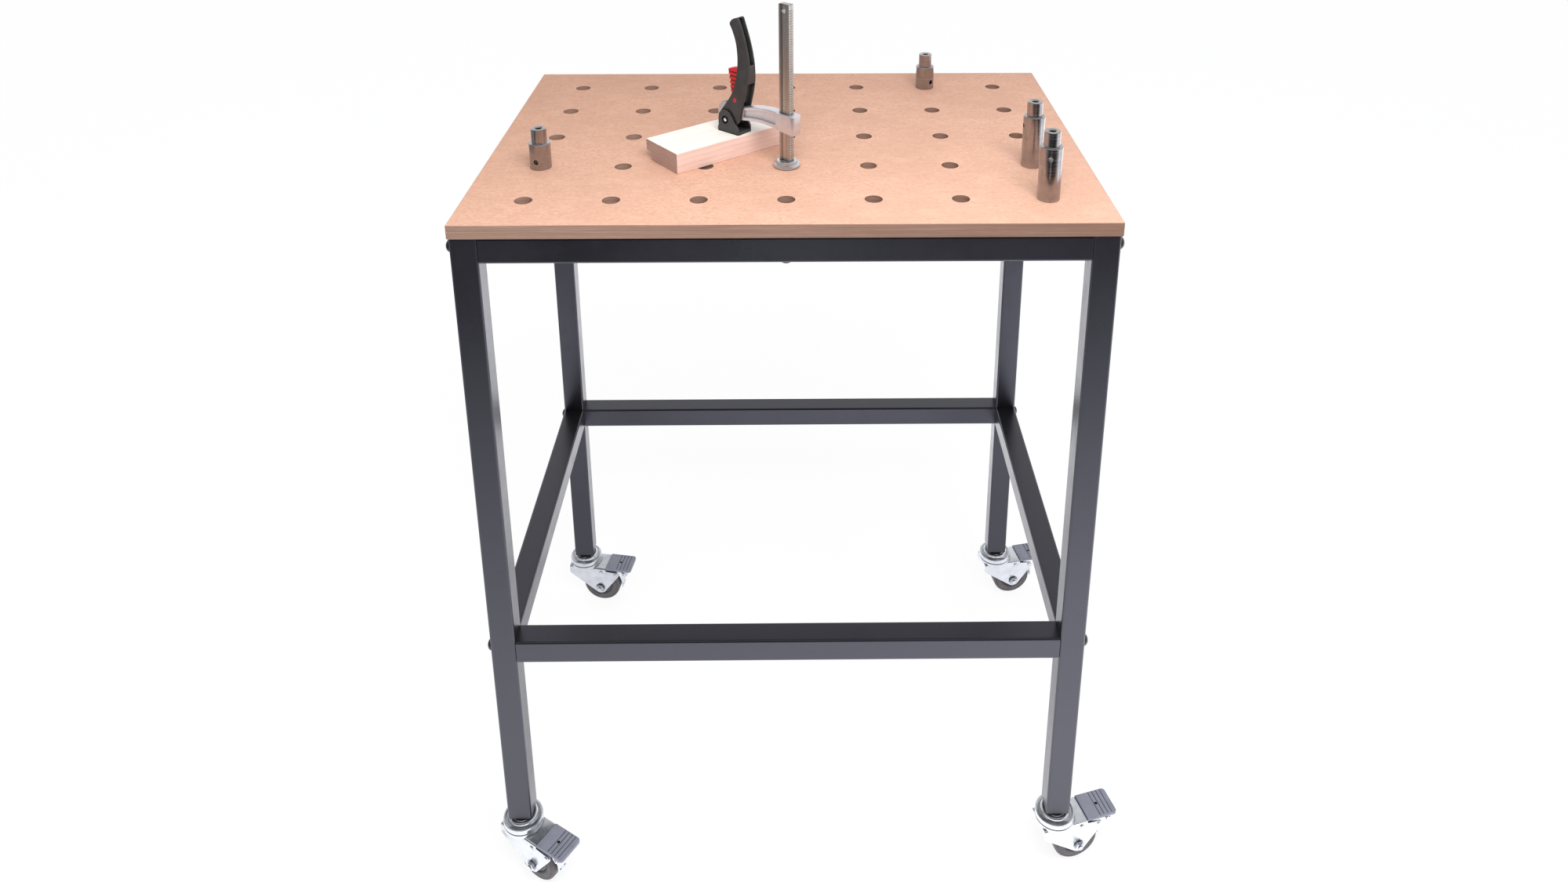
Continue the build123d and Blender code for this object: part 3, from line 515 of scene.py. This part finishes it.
def make_zinc_bar():
    k = Mat("zinc_bar")
    rn = k.rounded(0.0004, 4)
    streak = k.noise(k.mapping(k.co, scale=(900, 900, 8)), 1.0, 4, 0.6)
    streak2 = k.noise(k.mapping(k.co, scale=(260, 260, 5), loc=(1, 4, 0)), 1.0, 3, 0.6)
    a = k.noise(k.co, 240, 4, 0.65)
    pit = k.noise(k.co, 1900, 3, 0.6)
    col = k.ramp(
        streak2,
        [
            (0.28, (0.35, 0.325, 0.295, 1)),
            (0.50, (0.47, 0.455, 0.435, 1)),
            (0.72, (0.58, 0.575, 0.570, 1)),
        ],
    )
    col = k.mix(k.mr(a, 0.52, 0.74, 0.0, 0.45), col, (0.31, 0.280, 0.245, 1))
    col = k.mix(k.mr(pit, 0.64, 0.74, 0.0, 0.5), col, (0.22, 0.21, 0.20, 1))
    # painted shade: tight corners are painted a little darker
    col = k.mix(k.math("MULTIPLY", crevice_shade(k, 0.003), 0.25), col, (0.10, 0.09, 0.085, 1))
    k.set(
        Base_Color=col,
        Metallic=1.0,
        Roughness=k.ramp(streak, [(0.3, 0.28), (0.7, 0.42)]),
        Normal=k.bump(k.math("ADD", streak, k.math("MULTIPLY", pit, 0.4)), 0.20, 0.00006, rn),
    )
    return k.m


def make_cast():
    k = Mat("cast_metal")
    rn = k.rounded(0.0006, 4)
    a = k.noise(k.co, 160, 4, 0.6)
    grain = k.noise(k.co, 2600, 3, 0.6)
    col = k.ramp(a, [(0.3, (0.66, 0.65, 0.695, 1)), (0.7, (0.78, 0.77, 0.815, 1))])
    col = k.mix(k.mr(grain, 0.58, 0.72, 0.0, 0.4), col, (0.52, 0.505, 0.535, 1))
    # painted highlight: every edge is painted near white
    col = k.mix(k.math("MULTIPLY", k.edge(rn, 0.03, 0.35), 0.8), col, (0.97, 0.96, 0.98, 1))
    # painted shade: recesses and tight corners are painted dark
    col = k.mix(k.math("MULTIPLY", crevice_shade(k, 0.004), 0.60), col, (0.20, 0.175, 0.17, 1))
    k.set(
        Base_Color=col,
        Metallic=0.85,
        Roughness=k.ramp(a, [(0.3, 0.34), (0.7, 0.46)]),
        Normal=k.bump(k.math("ADD", k.math("MULTIPLY", a, 0.4), grain), 0.28, 0.00010, rn),
    )
    return k.m


def make_lever_plastic():
    k = Mat("lever_plastic")
    rn = k.rounded(0.0006, 4)
    a = k.noise(k.co, 60, 3, 0.6)
    grain = k.voronoi(k.co, 2600)
    b = k.noise(k.co, 3800, 2, 0.5)
    col = k.ramp(a, [(0.3, (0.029, 0.029, 0.030, 1)), (0.7, (0.042, 0.042, 0.043, 1))])
    col = k.mix(k.mr(b, 0.55, 0.72, 0.0, 0.35), col, (0.066, 0.066, 0.069, 1))
    # painted highlight: every edge is painted lighter
    col = k.mix(k.math("MULTIPLY", k.edge(rn, 0.02, 0.30), 0.85), col, (0.21, 0.21, 0.225, 1))
    # painted shade: slots and tight corners are painted near black
    col = k.mix(crevice_shade(k, 0.007, 0.35, 0.92), col, (0.0015, 0.0014, 0.0014, 1))
    k.set(
        Base_Color=col,
        Roughness=k.ramp(b, [(0.3, 0.42), (0.7, 0.56)]),
        Normal=k.bump(grain, 0.30, 0.00010, rn),
        Specular_IOR_Level=0.5,
    )
    return k.m


def make_trigger():
    k = Mat("trigger_plastic")
    rn = k.rounded(0.0006, 4)
    a = k.noise(k.co, 90, 3, 0.6)
    b = k.noise(k.co, 3000, 2, 0.5)
    col = k.ramp(a, [(0.3, (0.50, 0.010, 0.018, 1)), (0.7, (0.62, 0.018, 0.028, 1))])
    # painted highlight: every edge is painted lighter
    col = k.mix(k.math("MULTIPLY", k.edge(rn, 0.03, 0.4), 0.4), col, (0.80, 0.10, 0.11, 1))
    # painted shade: tight corners are painted dark
    col = k.mix(crevice_shade(k, 0.0022, 0.55, 0.95), col, (0.035, 0.001, 0.003, 1))
    # painted shade in bands across it, between the grip ribs
    z = k.xyz(k.co)[2]
    step = k.math("FRACT", k.math("DIVIDE", k.math("SUBTRACT", z, 0.0770), 0.0052))
    gap = k.mr(k.math("ABSOLUTE", k.math("SUBTRACT", step, 0.5)), 0.10, 0.24, 1.0, 0.0)
    gap = k.math("MULTIPLY", gap, k.math("MULTIPLY", k.mr(z, 0.0766, 0.0772, 0.0, 1.0), k.mr(z, 0.1010, 0.1016, 1.0, 0.0)))
    col = k.mix(k.math("MULTIPLY", gap, 0.92), col, (0.045, 0.001, 0.003, 1))
    k.set(
        Base_Color=col,
        Roughness=k.ramp(b, [(0.3, 0.30), (0.7, 0.42)]),
        Normal=k.bump(b, 0.2, 0.00006, rn),
        Specular_IOR_Level=0.5,
    )
    return k.m


MAKERS = {
    "mdf": make_mdf,
    "powder_coat": make_powder,
    "black_fastener": make_black_fastener,
    "plain_steel": make_plain_steel,
    "plug_plastic": make_plug,
    "bright_zinc": make_bright_zinc,
    "tyre_rubber": make_tyre,
    "hub_plastic": make_hub,
    "pedal_plastic": make_pedal,
    "turned_steel": make_turned,
    "pine": make_pine,
    "zinc_bar": make_zinc_bar,
    "cast_metal": make_cast,
    "lever_plastic": make_lever_plastic,
    "trigger_plastic": make_trigger,
}
for slot_name, maker in MAKERS.items():
    MATS[slot_name] = maker()


def slot_of(obj):
    """The finish slot of a CAD node, from the material it was packed with."""
    for s in obj.material_slots:
        if s.material:
            base = s.material.name.split(".")[0]
            if base in MATS:
                return base
    return "powder_coat"


slot_of_key = {name: slot_of(obj) for name, obj in NODES.items()}
for name, obj in NODES.items():
    key = slot_of_key[name]
    if not obj.material_slots:
        obj.data.materials.append(None)
    for s in obj.material_slots:
        s.material = MATS[key]


# ---------------------------------------------------------------- finer meshes for the moulded and pressed pieces
BODY_OF = {n: b for b, ns in frame["record"]["behaviour"]["bodies"].items() for n in ns}


def refine(node, suffix, radius, segments=3, angle=30.0, fine=0.0):
    """A worked copy of a CAD node: welded, and every hard edge rounded by `radius`."""
    src = NODES[node]
    key = slot_of_key[node]
    bm = bmesh.new()
    bm.from_mesh(src.data)
    bmesh.ops.remove_doubles(bm, verts=bm.verts, dist=0.000012)
    bmesh.ops.dissolve_degenerate(bm, dist=0.000004, edges=bm.edges)
    me = bpy.data.meshes.new(node + suffix)
    bm.to_mesh(me)
    bm.free()
    me.materials.append(MATS[key])
    for poly in me.polygons:
        poly.use_smooth = True
    me.set_sharp_from_angle(angle=math.radians(40.0))
    ob = bpy.data.objects.new(node + suffix, me)
    scene.collection.objects.link(ob)
    b = ob.modifiers.new("rounding", "BEVEL")
    b.width = radius
    b.segments = segments
    b.limit_method = "ANGLE"
    b.angle_limit = math.radians(angle)
    b.use_clamp_overlap = True
    b.miter_outer = "MITER_ARC"
    b.harden_normals = False
    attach(ob, BODY_OF[node])
    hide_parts(node)
    return ob


REFINED = {}
for node in NODES:
    if "collar" in node:
        REFINED[node] = refine(node, "_worked", 0.0005, 2)
        REFINED[node].data.materials[0] = MATS["bright_zinc"]
for node, radius, segments in (
    ("clamp_lever", 0.0011, 3),
    ("clamp_trigger", 0.00025, 2),
    ("clamp_foot", 0.0008, 3),
    ("clamp_arm", 0.0006, 2),
):
    REFINED[node] = refine(node, "_worked", radius, segments)
for corner in ("fl", "fr", "bl", "br"):
    REFINED["brake_pedal_" + corner] = refine("brake_pedal_" + corner, "_worked", 0.00035, 2)
    REFINED["caster_fork_" + corner] = refine("caster_fork_" + corner, "_worked", 0.0004, 2)
    REFINED["brake_lever_" + corner] = refine("brake_lever_" + corner, "_worked", 0.00025, 2)


# ---------------------------------------------------------------- pieces built here
def place(ob, node):
    """Link a new piece and let it ride with the body of `node`."""
    scene.collection.objects.link(ob)
    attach(ob, BODY_OF[node])


def clamp_point(x, y, z):
    """Clamp plane (millimetres: out along the arm, across, up) to world metres."""
    a = math.radians(140.0)
    return Vector((x * math.cos(a) - y * math.sin(a), -96.0 + x * math.sin(a) + y * math.cos(a), z)) * MM


def make_block():
    """The planed board offcut: rebated along its far lower edge, with slightly uneven sawn faces."""
    corner = Vector((-126.0, -120.6, 0.0))
    yaw = math.radians(38.7)
    ux, uy = Vector((math.cos(yaw), math.sin(yaw), 0)), Vector((-math.sin(yaw), math.cos(yaw), 0))
    profile = [(0, 0), (55.4, 0), (55.4, 11.0), (66, 11.0), (66, 25), (0, 25)]
    ring = []
    for (y0, z0), (y1, z1) in zip(profile, profile[1:] + profile[:1]):
        steps = max(1, int(math.hypot(y1 - y0, z1 - z0) / 5.5))
        for i in range(steps):
            ring.append((y0 + (y1 - y0) * i / steps, z0 + (z1 - z0) * i / steps))
    bm = bmesh.new()
    n_len = 26
    rows = []
    for i in range(n_len + 1):
        x = 158.0 * i / n_len
        row = []
        for y, z in ring:
            wob = 0.10 * math.sin(x * 0.071 + y * 0.11) * math.sin(y * 0.05 + z * 0.13 + 0.7)
            yy = min(66.0, max(0.0, y + wob))
            zz = z if z < 0.01 or z > 24.9 else z + 0.5 * wob
            row.append(bm.verts.new((corner + ux * x + uy * yy + Vector((0, 0, zz))) * MM))
        rows.append(row)
    m = len(ring)
    for a, b in zip(rows[:-1], rows[1:]):
        for j in range(m):
            bm.faces.new((a[j], a[(j + 1) % m], b[(j + 1) % m], b[j]))
    bm.faces.new(rows[0])
    bm.faces.new(list(reversed(rows[-1])))
    bmesh.ops.recalc_face_normals(bm, faces=bm.faces)
    me = bpy.data.meshes.new("workpiece_board")
    bm.to_mesh(me)
    bm.free()
    me.materials.append(MATS["pine"])
    for poly in me.polygons:
        poly.use_smooth = True
    me.set_sharp_from_angle(angle=math.radians(40.0))
    ob = bpy.data.objects.new("workpiece_board", me)
    b = ob.modifiers.new("rounding", "BEVEL")
    b.width, b.segments, b.limit_method, b.angle_limit = 0.0005, 2, "ANGLE", math.radians(50)
    place(ob, "workpiece_block")
    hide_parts("workpiece_block")
    return ob


make_block()


def lathe(name, origin, axis, profile, mats, steps=40):
    """A turned piece: profile rows are (radius, height along axis, material number), closed round the axis."""
    axis = axis.normalized()
    side = axis.orthogonal().normalized()
    up = axis.cross(side)
    bm = bmesh.new()
    rows = []
    for r, h, _ in profile:
        if r < 1e-6:
            rows.append([bm.verts.new(origin + axis * h * MM)] * steps)
        else:
            rows.append(
                [
                    bm.verts.new(
                        origin + axis * h * MM + (side * math.cos(t) + up * math.sin(t)) * r * MM
                    )
                    for t in (2 * math.pi * i / steps for i in range(steps))
                ]
            )
    for k, (a, b) in enumerate(zip(rows[:-1], rows[1:])):
        for i in range(steps):
            j = (i + 1) % steps
            corners = []
            for v in (a[i], a[j], b[j], b[i]):
                if v not in corners:
                    corners.append(v)
            if len(corners) > 2:
                f = bm.faces.new(corners)
                f.material_index = profile[k][2]
                f.smooth = True
    bmesh.ops.recalc_face_normals(bm, faces=bm.faces)
    me = bpy.data.meshes.new(name)
    bm.to_mesh(me)
    bm.free()
    for m in mats:
        me.materials.append(m)
    me.set_sharp_from_angle(angle=math.radians(32.0))
    return bpy.data.objects.new(name, me)


HOLE_SHADE = make_hole_shade()
CASTER_AT = {}
for corner in ("fl", "fr", "bl", "br"):
    hub = NODES["leg_" + corner]
    pts = np.array([tuple(hub.matrix_world @ v.co) for v in hub.data.vertices])
    CASTER_AT[corner] = ((pts.min(axis=0) + pts.max(axis=0)) / 2) * np.array((1, 1, 0))

# the foot's two pivot eyes: a ring of painted shade sunk round a bright pin end, where the hole round the pin lies in
# shadow
for tag, sgn in (("near", 1), ("far", -1)):
    o = clamp_point(87.0, 0, 41.0)
    ax = clamp_point(87.0, sgn * 1.0, 41.0) - o
    eye = lathe(
        "foot_pivot_eye_" + tag,
        o,
        ax,
        [
            (0.0, 6.7, 0),
            (2.3, 6.7, 0),
            (2.3, 11.15, 1),
            (4.7, 11.15, 1),
            (4.7, 12.3, 1),
            (4.3, 12.75, 1),
            (3.8, 12.55, 1),
            (3.4, 11.5, 1),
            (2.6, 11.3, 0),
            (2.5, 12.0, 0),
            (2.0, 12.3, 0),
            (0.9, 12.35, 0),
            (0.0, 12.1, 0),
        ],
        [make_pin_bright(), HOLE_SHADE],
    )
    place(eye, "clamp_foot_pins")
    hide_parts("clamp_foot_pins")


# a small black cup of painted shade with a flared rim, set in the hole of each brake pedal where the hole lies in
# shadow
for corner in ("fl", "fr", "bl", "br"):
    src = NODES["brake_pedal_" + corner]
    pts = np.array([tuple(src.matrix_world @ v.co) for v in src.data.vertices])
    mid = (pts.min(axis=0) + pts.max(axis=0)) / 2
    yaw = math.atan2(mid[1] - CASTER_AT[corner][1], mid[0] - CASTER_AT[corner][0])
    hole_shade_at = Vector((CASTER_AT[corner][0], CASTER_AT[corner][1], 0)) + Vector((math.cos(yaw), math.sin(yaw), 0)) * 0.0594
    hole_shade_at.z = float(pts[:, 2].max())
    eye = lathe(
        "pedal_bore_" + corner,
        hole_shade_at,
        Vector((0, 0, 1)),
        [(0.0, -0.35, 0), (1.45, -0.35, 0), (1.9, -0.10, 0), (1.9, -0.9, 0), (0.0, -0.9, 0)],
        [HOLE_SHADE],
        steps=24,
    )
    place(eye, "brake_pedal_" + corner)


def capsule_row(name, centres, axis, radius, half, mats, steps=14):
    """Rounded bars side by side, each along `axis`, as one mesh."""
    axis = axis.normalized()
    side = axis.orthogonal().normalized()
    up = axis.cross(side)
    bm = bmesh.new()
    arc = [(radius * math.sin(t), half - radius * 0.6 + radius * 0.6 * math.cos(t)) for t in (math.pi / 2 * i / 5 for i in range(6))]
    prof = arc + [(r, -h) for r, h in reversed(arc)]
    for c in centres:
        rows = []
        for r, h in prof:
            if r < 1e-6:
                rows.append([bm.verts.new(c + axis * h * MM)] * steps)
            else:
                rows.append([bm.verts.new(c + axis * h * MM + (side * math.cos(2 * math.pi * i / steps) + up * math.sin(2 * math.pi * i / steps)) * r * MM) for i in range(steps)])
        for a, b in zip(rows[:-1], rows[1:]):
            for i in range(steps):
                j = (i + 1) % steps
                corners = []
                for v in (a[i], a[j], b[j], b[i]):
                    if v not in corners:
                        corners.append(v)
                if len(corners) > 2:
                    bm.faces.new(corners).smooth = True
    bmesh.ops.recalc_face_normals(bm, faces=bm.faces)
    me = bpy.data.meshes.new(name)
    bm.to_mesh(me)
    bm.free()
    for m in mats:
        me.materials.append(m)
    return bpy.data.objects.new(name, me)


ribs = capsule_row(
    "trigger_thumb_ribs",
    [clamp_point(x, 0, z) for x, z in ((83.3, 77.0), (84.1, 82.0), (84.6, 87.2), (85.3, 92.6), (86.3, 98.0), (86.6, 102.6))],
    clamp_point(0, 1, 0) - clamp_point(0, 0, 0),
    1.35,
    3.9,
    [MATS["trigger_plastic"]],
)
place(ribs, "clamp_trigger")


# ---------------------------------------------------------------- floor, world, lights
FLOOR_Z = CAD_BOX[0].z
FLOOR_GLOW = [(-2.3, 0.0), (-2.05, 0.0), (-1.86, 0.02), (-1.62, 0.40), (-1.36, 0.88), (-1.15, 1.20), (-0.80, 1.70), (-0.42, 2.0), (-0.12, 1.02), (0.25, 0.98), (0.60, 1.55)]
FLOOR_X = (0.92, 1.46)


def make_floor():
    bm = bmesh.new()
    half, n = 14.0, 28
    bmesh.ops.create_grid(bm, x_segments=n, y_segments=n, size=half)
    me = bpy.data.meshes.new("floor")
    bm.to_mesh(me)
    bm.free()
    ob = bpy.data.objects.new("floor", me)
    ob.location = (0, 0, FLOOR_Z)
    scene.collection.objects.link(ob)
    m = bpy.data.materials.new("floor_paper")
    m.use_nodes = True
    t = m.node_tree
    t.nodes.clear()
    out = t.nodes.new("ShaderNodeOutputMaterial")
    lp = t.nodes.new("ShaderNodeLightPath")
    dif = t.nodes.new("ShaderNodeBsdfDiffuse")
    dif.inputs["Color"].default_value = (0.90, 0.90, 0.905, 1)
    em = t.nodes.new("ShaderNodeEmission")
    geo = t.nodes.new("ShaderNodeNewGeometry")
    sep = t.nodes.new("ShaderNodeSeparateXYZ")
    t.links.new(geo.outputs["Position"], sep.inputs[0])

    def link(v, socket):
        if isinstance(v, bpy.types.NodeSocket):
            t.links.new(v, socket)
        else:
            socket.default_value = v

    def span(v, a, b, c, d):
        n = t.nodes.new("ShaderNodeMapRange")
        link(v, n.inputs["Value"])
        for key, val in zip(("From Min", "From Max", "To Min", "To Max"), (a, b, c, d)):
            n.inputs[key].default_value = val
        return n.outputs["Result"]

    def times(a, b):
        n = t.nodes.new("ShaderNodeMath")
        n.operation = "MULTIPLY"
        link(a, n.inputs[0])
        link(b, n.inputs[1])
        return n.outputs[0]

    # brightness of the lit paper as glossy surfaces see it, along Y: it falls off towards the front
    ramp = t.nodes.new("ShaderNodeValToRGB")
    ramp.color_ramp.interpolation = "B_SPLINE"
    stops = FLOOR_GLOW
    e = ramp.color_ramp.elements
    while len(e) < len(stops):
        e.new(0.5)
    for el, (y, v) in zip(e, stops):
        el.position = (y + 2.4) / 3.4
        el.color = (v / 2.0, v / 2.0, v / 2.0, 1)
    t.links.new(span(sep.outputs[1], -2.4, 1.0, 0.0, 1.0), ramp.inputs["Fac"])
    glow = times(times(ramp.outputs["Color"], 2.0), span(sep.outputs[0], -0.75, 0.75, FLOOR_X[0], FLOOR_X[1]))
    # the paper ends at the sides
    glow = times(glow, span(sep.outputs[0], -2.3, -1.1, 0.26, 1.0))
    glow = times(glow, span(sep.outputs[0], 1.4, 2.6, 1.0, 0.75))
    # one brighter patch straight in front, seen in the middle of the top rail
    dist = t.nodes.new("ShaderNodeVectorMath")
    dist.operation = "DISTANCE"
    t.links.new(geo.outputs["Position"], dist.inputs[0])
    dist.inputs[1].default_value = (0.0, -2.0, CAD_BOX[0].z)
    patch = span(dist.outputs["Value"], 0.24, 0.0, 0.0, 5.0)
    add = t.nodes.new("ShaderNodeMath")
    add.operation = "ADD"
    link(glow, add.inputs[0])
    link(patch, add.inputs[1])
    t.links.new(add.outputs[0], em.inputs["Strength"])
    em.inputs["Color"].default_value = (1.0, 1.0, 1.03, 1)
    mix = t.nodes.new("ShaderNodeMixShader")
    t.links.new(lp.outputs["Is Glossy Ray"], mix.inputs[0])
    t.links.new(dif.outputs[0], mix.inputs[1])
    t.links.new(em.outputs[0], mix.inputs[2])
    # what the camera sees: nearly burnt-out paper that keeps only a faint contact shadow
    em2 = t.nodes.new("ShaderNodeEmission")
    em2.inputs["Color"].default_value = (1, 1, 1, 1)
    em2.inputs["Strength"].default_value = 1.07
    soft = t.nodes.new("ShaderNodeMixShader")
    soft.inputs[0].default_value = 0.80
    t.links.new(dif.outputs[0], soft.inputs[1])
    t.links.new(em2.outputs[0], soft.inputs[2])
    mix2 = t.nodes.new("ShaderNodeMixShader")
    t.links.new(lp.outputs["Is Camera Ray"], mix2.inputs[0])
    t.links.new(mix.outputs[0], mix2.inputs[1])
    t.links.new(soft.outputs[0], mix2.inputs[2])
    t.links.new(mix2.outputs[0], out.inputs["Surface"])
    ob.data.materials.append(m)
    return ob


floor = make_floor()


def make_world():
    w = bpy.data.worlds.new("studio")
    scene.world = w
    w.use_nodes = True
    t = w.node_tree
    t.nodes.clear()
    out = t.nodes.new("ShaderNodeOutputWorld")
    bg = t.nodes.new("ShaderNodeBackground")
    lp = t.nodes.new("ShaderNodeLightPath")
    tc = t.nodes.new("ShaderNodeTexCoord")
    sep = t.nodes.new("ShaderNodeSeparateXYZ")
    t.links.new(tc.outputs["Generated"], sep.inputs[0])

    def node_math(op, a, b=None):
        n = t.nodes.new("ShaderNodeMath")
        n.operation = op
        for i, v in enumerate((a, b)):
            if v is None:
                continue
            if isinstance(v, bpy.types.NodeSocket):
                t.links.new(v, n.inputs[i])
            else:
                n.inputs[i].default_value = v
        return n.outputs[0]

    def rng(v, a, b, c, d):
        n = t.nodes.new("ShaderNodeMapRange")
        n.interpolation_type = "SMOOTHSTEP"
        t.links.new(v, n.inputs["Value"])
        for key, val in zip(("From Min", "From Max", "To Min", "To Max"), (a, b, c, d)):
            n.inputs[key].default_value = val
        return n.outputs["Result"]

    # what shiny surfaces see: a dark room in front, low down, and white paper everywhere else
    front = rng(sep.outputs[1], -0.80, -0.25, 0.0, 1.0)
    high = rng(sep.outputs[2], 0.45, 0.85, 0.0, 1.0)
    lit = node_math("MAXIMUM", front, high)
    shiny = rng(lit, 0.0, 1.0, 0.045, 1.12)
    # what lights the matt surfaces: a little more from the front right
    amb = rng(sep.outputs[0], -1.0, 1.0, 0.76, 0.74)

    def mixv(fac, a, b):
        n = t.nodes.new("ShaderNodeMix")
        n.data_type = "FLOAT"
        t.links.new(fac, n.inputs[0])
        for i, v in ((2, a), (3, b)):
            if isinstance(v, bpy.types.NodeSocket):
                t.links.new(v, n.inputs[i])
            else:
                n.inputs[i].default_value = v
        return n.outputs[0]

    # the left side of the room is greyer, and the backdrop is a little dimmer higher up
    side = rng(sep.outputs[0], -0.85, -0.25, 0.42, 1.0)
    backed = rng(sep.outputs[1], 0.05, 0.60, 0.0, 1.0)
    shiny = node_math("MULTIPLY", shiny, node_math("MAXIMUM", side, backed))
    shiny = node_math("MULTIPLY", shiny, rng(sep.outputs[2], 0.42, 0.66, 1.0, 0.72))
    s = mixv(lp.outputs["Is Glossy Ray"], amb, shiny)
    s = mixv(lp.outputs["Is Camera Ray"], s, 1.06)
    t.links.new(s, bg.inputs["Strength"])
    bg.inputs["Color"].default_value = (0.995, 0.995, 1.0, 1)
    t.links.new(bg.outputs[0], out.inputs["Surface"])


make_world()


def area(name, loc, target, size, energy, colour=(1, 1, 1)):
    d = bpy.data.lights.new(name, "AREA")
    d.shape = "RECTANGLE"
    d.size, d.size_y = size
    d.energy = energy
    d.color = colour
    o = bpy.data.objects.new(name, d)
    o.location = loc
    o.rotation_mode = "QUATERNION"
    o.rotation_quaternion = (Vector(target) - Vector(loc)).to_track_quat("-Z", "Y")
    scene.collection.objects.link(o)
    return o


key = area("key", (0.26, -0.98, 0.98), (0.07, -0.18, 0.0), (1.0, 0.7), 20.5, (1.0, 0.985, 0.965))
key.visible_glossy = False
key.visible_camera = False

# ---------------------------------------------------------------- camera
YAW, PITCH, ROLL = 0.0102, 0.3148, 0.0002
cam_data = bpy.data.cameras.new("camera")
cam = bpy.data.objects.new("camera", cam_data)
scene.collection.objects.link(cam)
scene.camera = cam
CAM_LOC = Vector((0.01124, -1.37327, 0.52868))
fwd = Vector((math.sin(YAW) * math.cos(PITCH), math.cos(YAW) * math.cos(PITCH), -math.sin(PITCH)))
cam.rotation_mode = "QUATERNION"
cam.rotation_quaternion = fwd.to_track_quat("-Z", "Y")
cam.location = CAM_LOC
cam_data.sensor_width = 36.0
cam_data.lens = 26.925
cam_data.clip_start, cam_data.clip_end = 0.02, 60.0
SHIFT = (-0.014975, -0.233655)
for path, value in (("shift_x", SHIFT[0]), ("shift_y", SHIFT[1])):
    drv = cam_data.driver_add(path).driver
    drv.type = "SCRIPTED"
    for axis in "xyz":
        var = drv.variables.new()
        var.name = "p" + axis
        var.type = "SINGLE_PROP"
        var.targets[0].id = cam
        var.targets[0].data_path = "location." + axis
    drv.expression = (
        f"{value} if abs(px - {CAM_LOC.x:.5f}) + abs(py - {CAM_LOC.y:.5f}) + abs(pz - {CAM_LOC.z:.5f}) < 0.001 else 0.0"
    )

scene.view_settings.view_transform = "Standard"
scene.view_settings.look = "None"
scene.view_settings.exposure = 0.0
scene.view_settings.gamma = 1.0
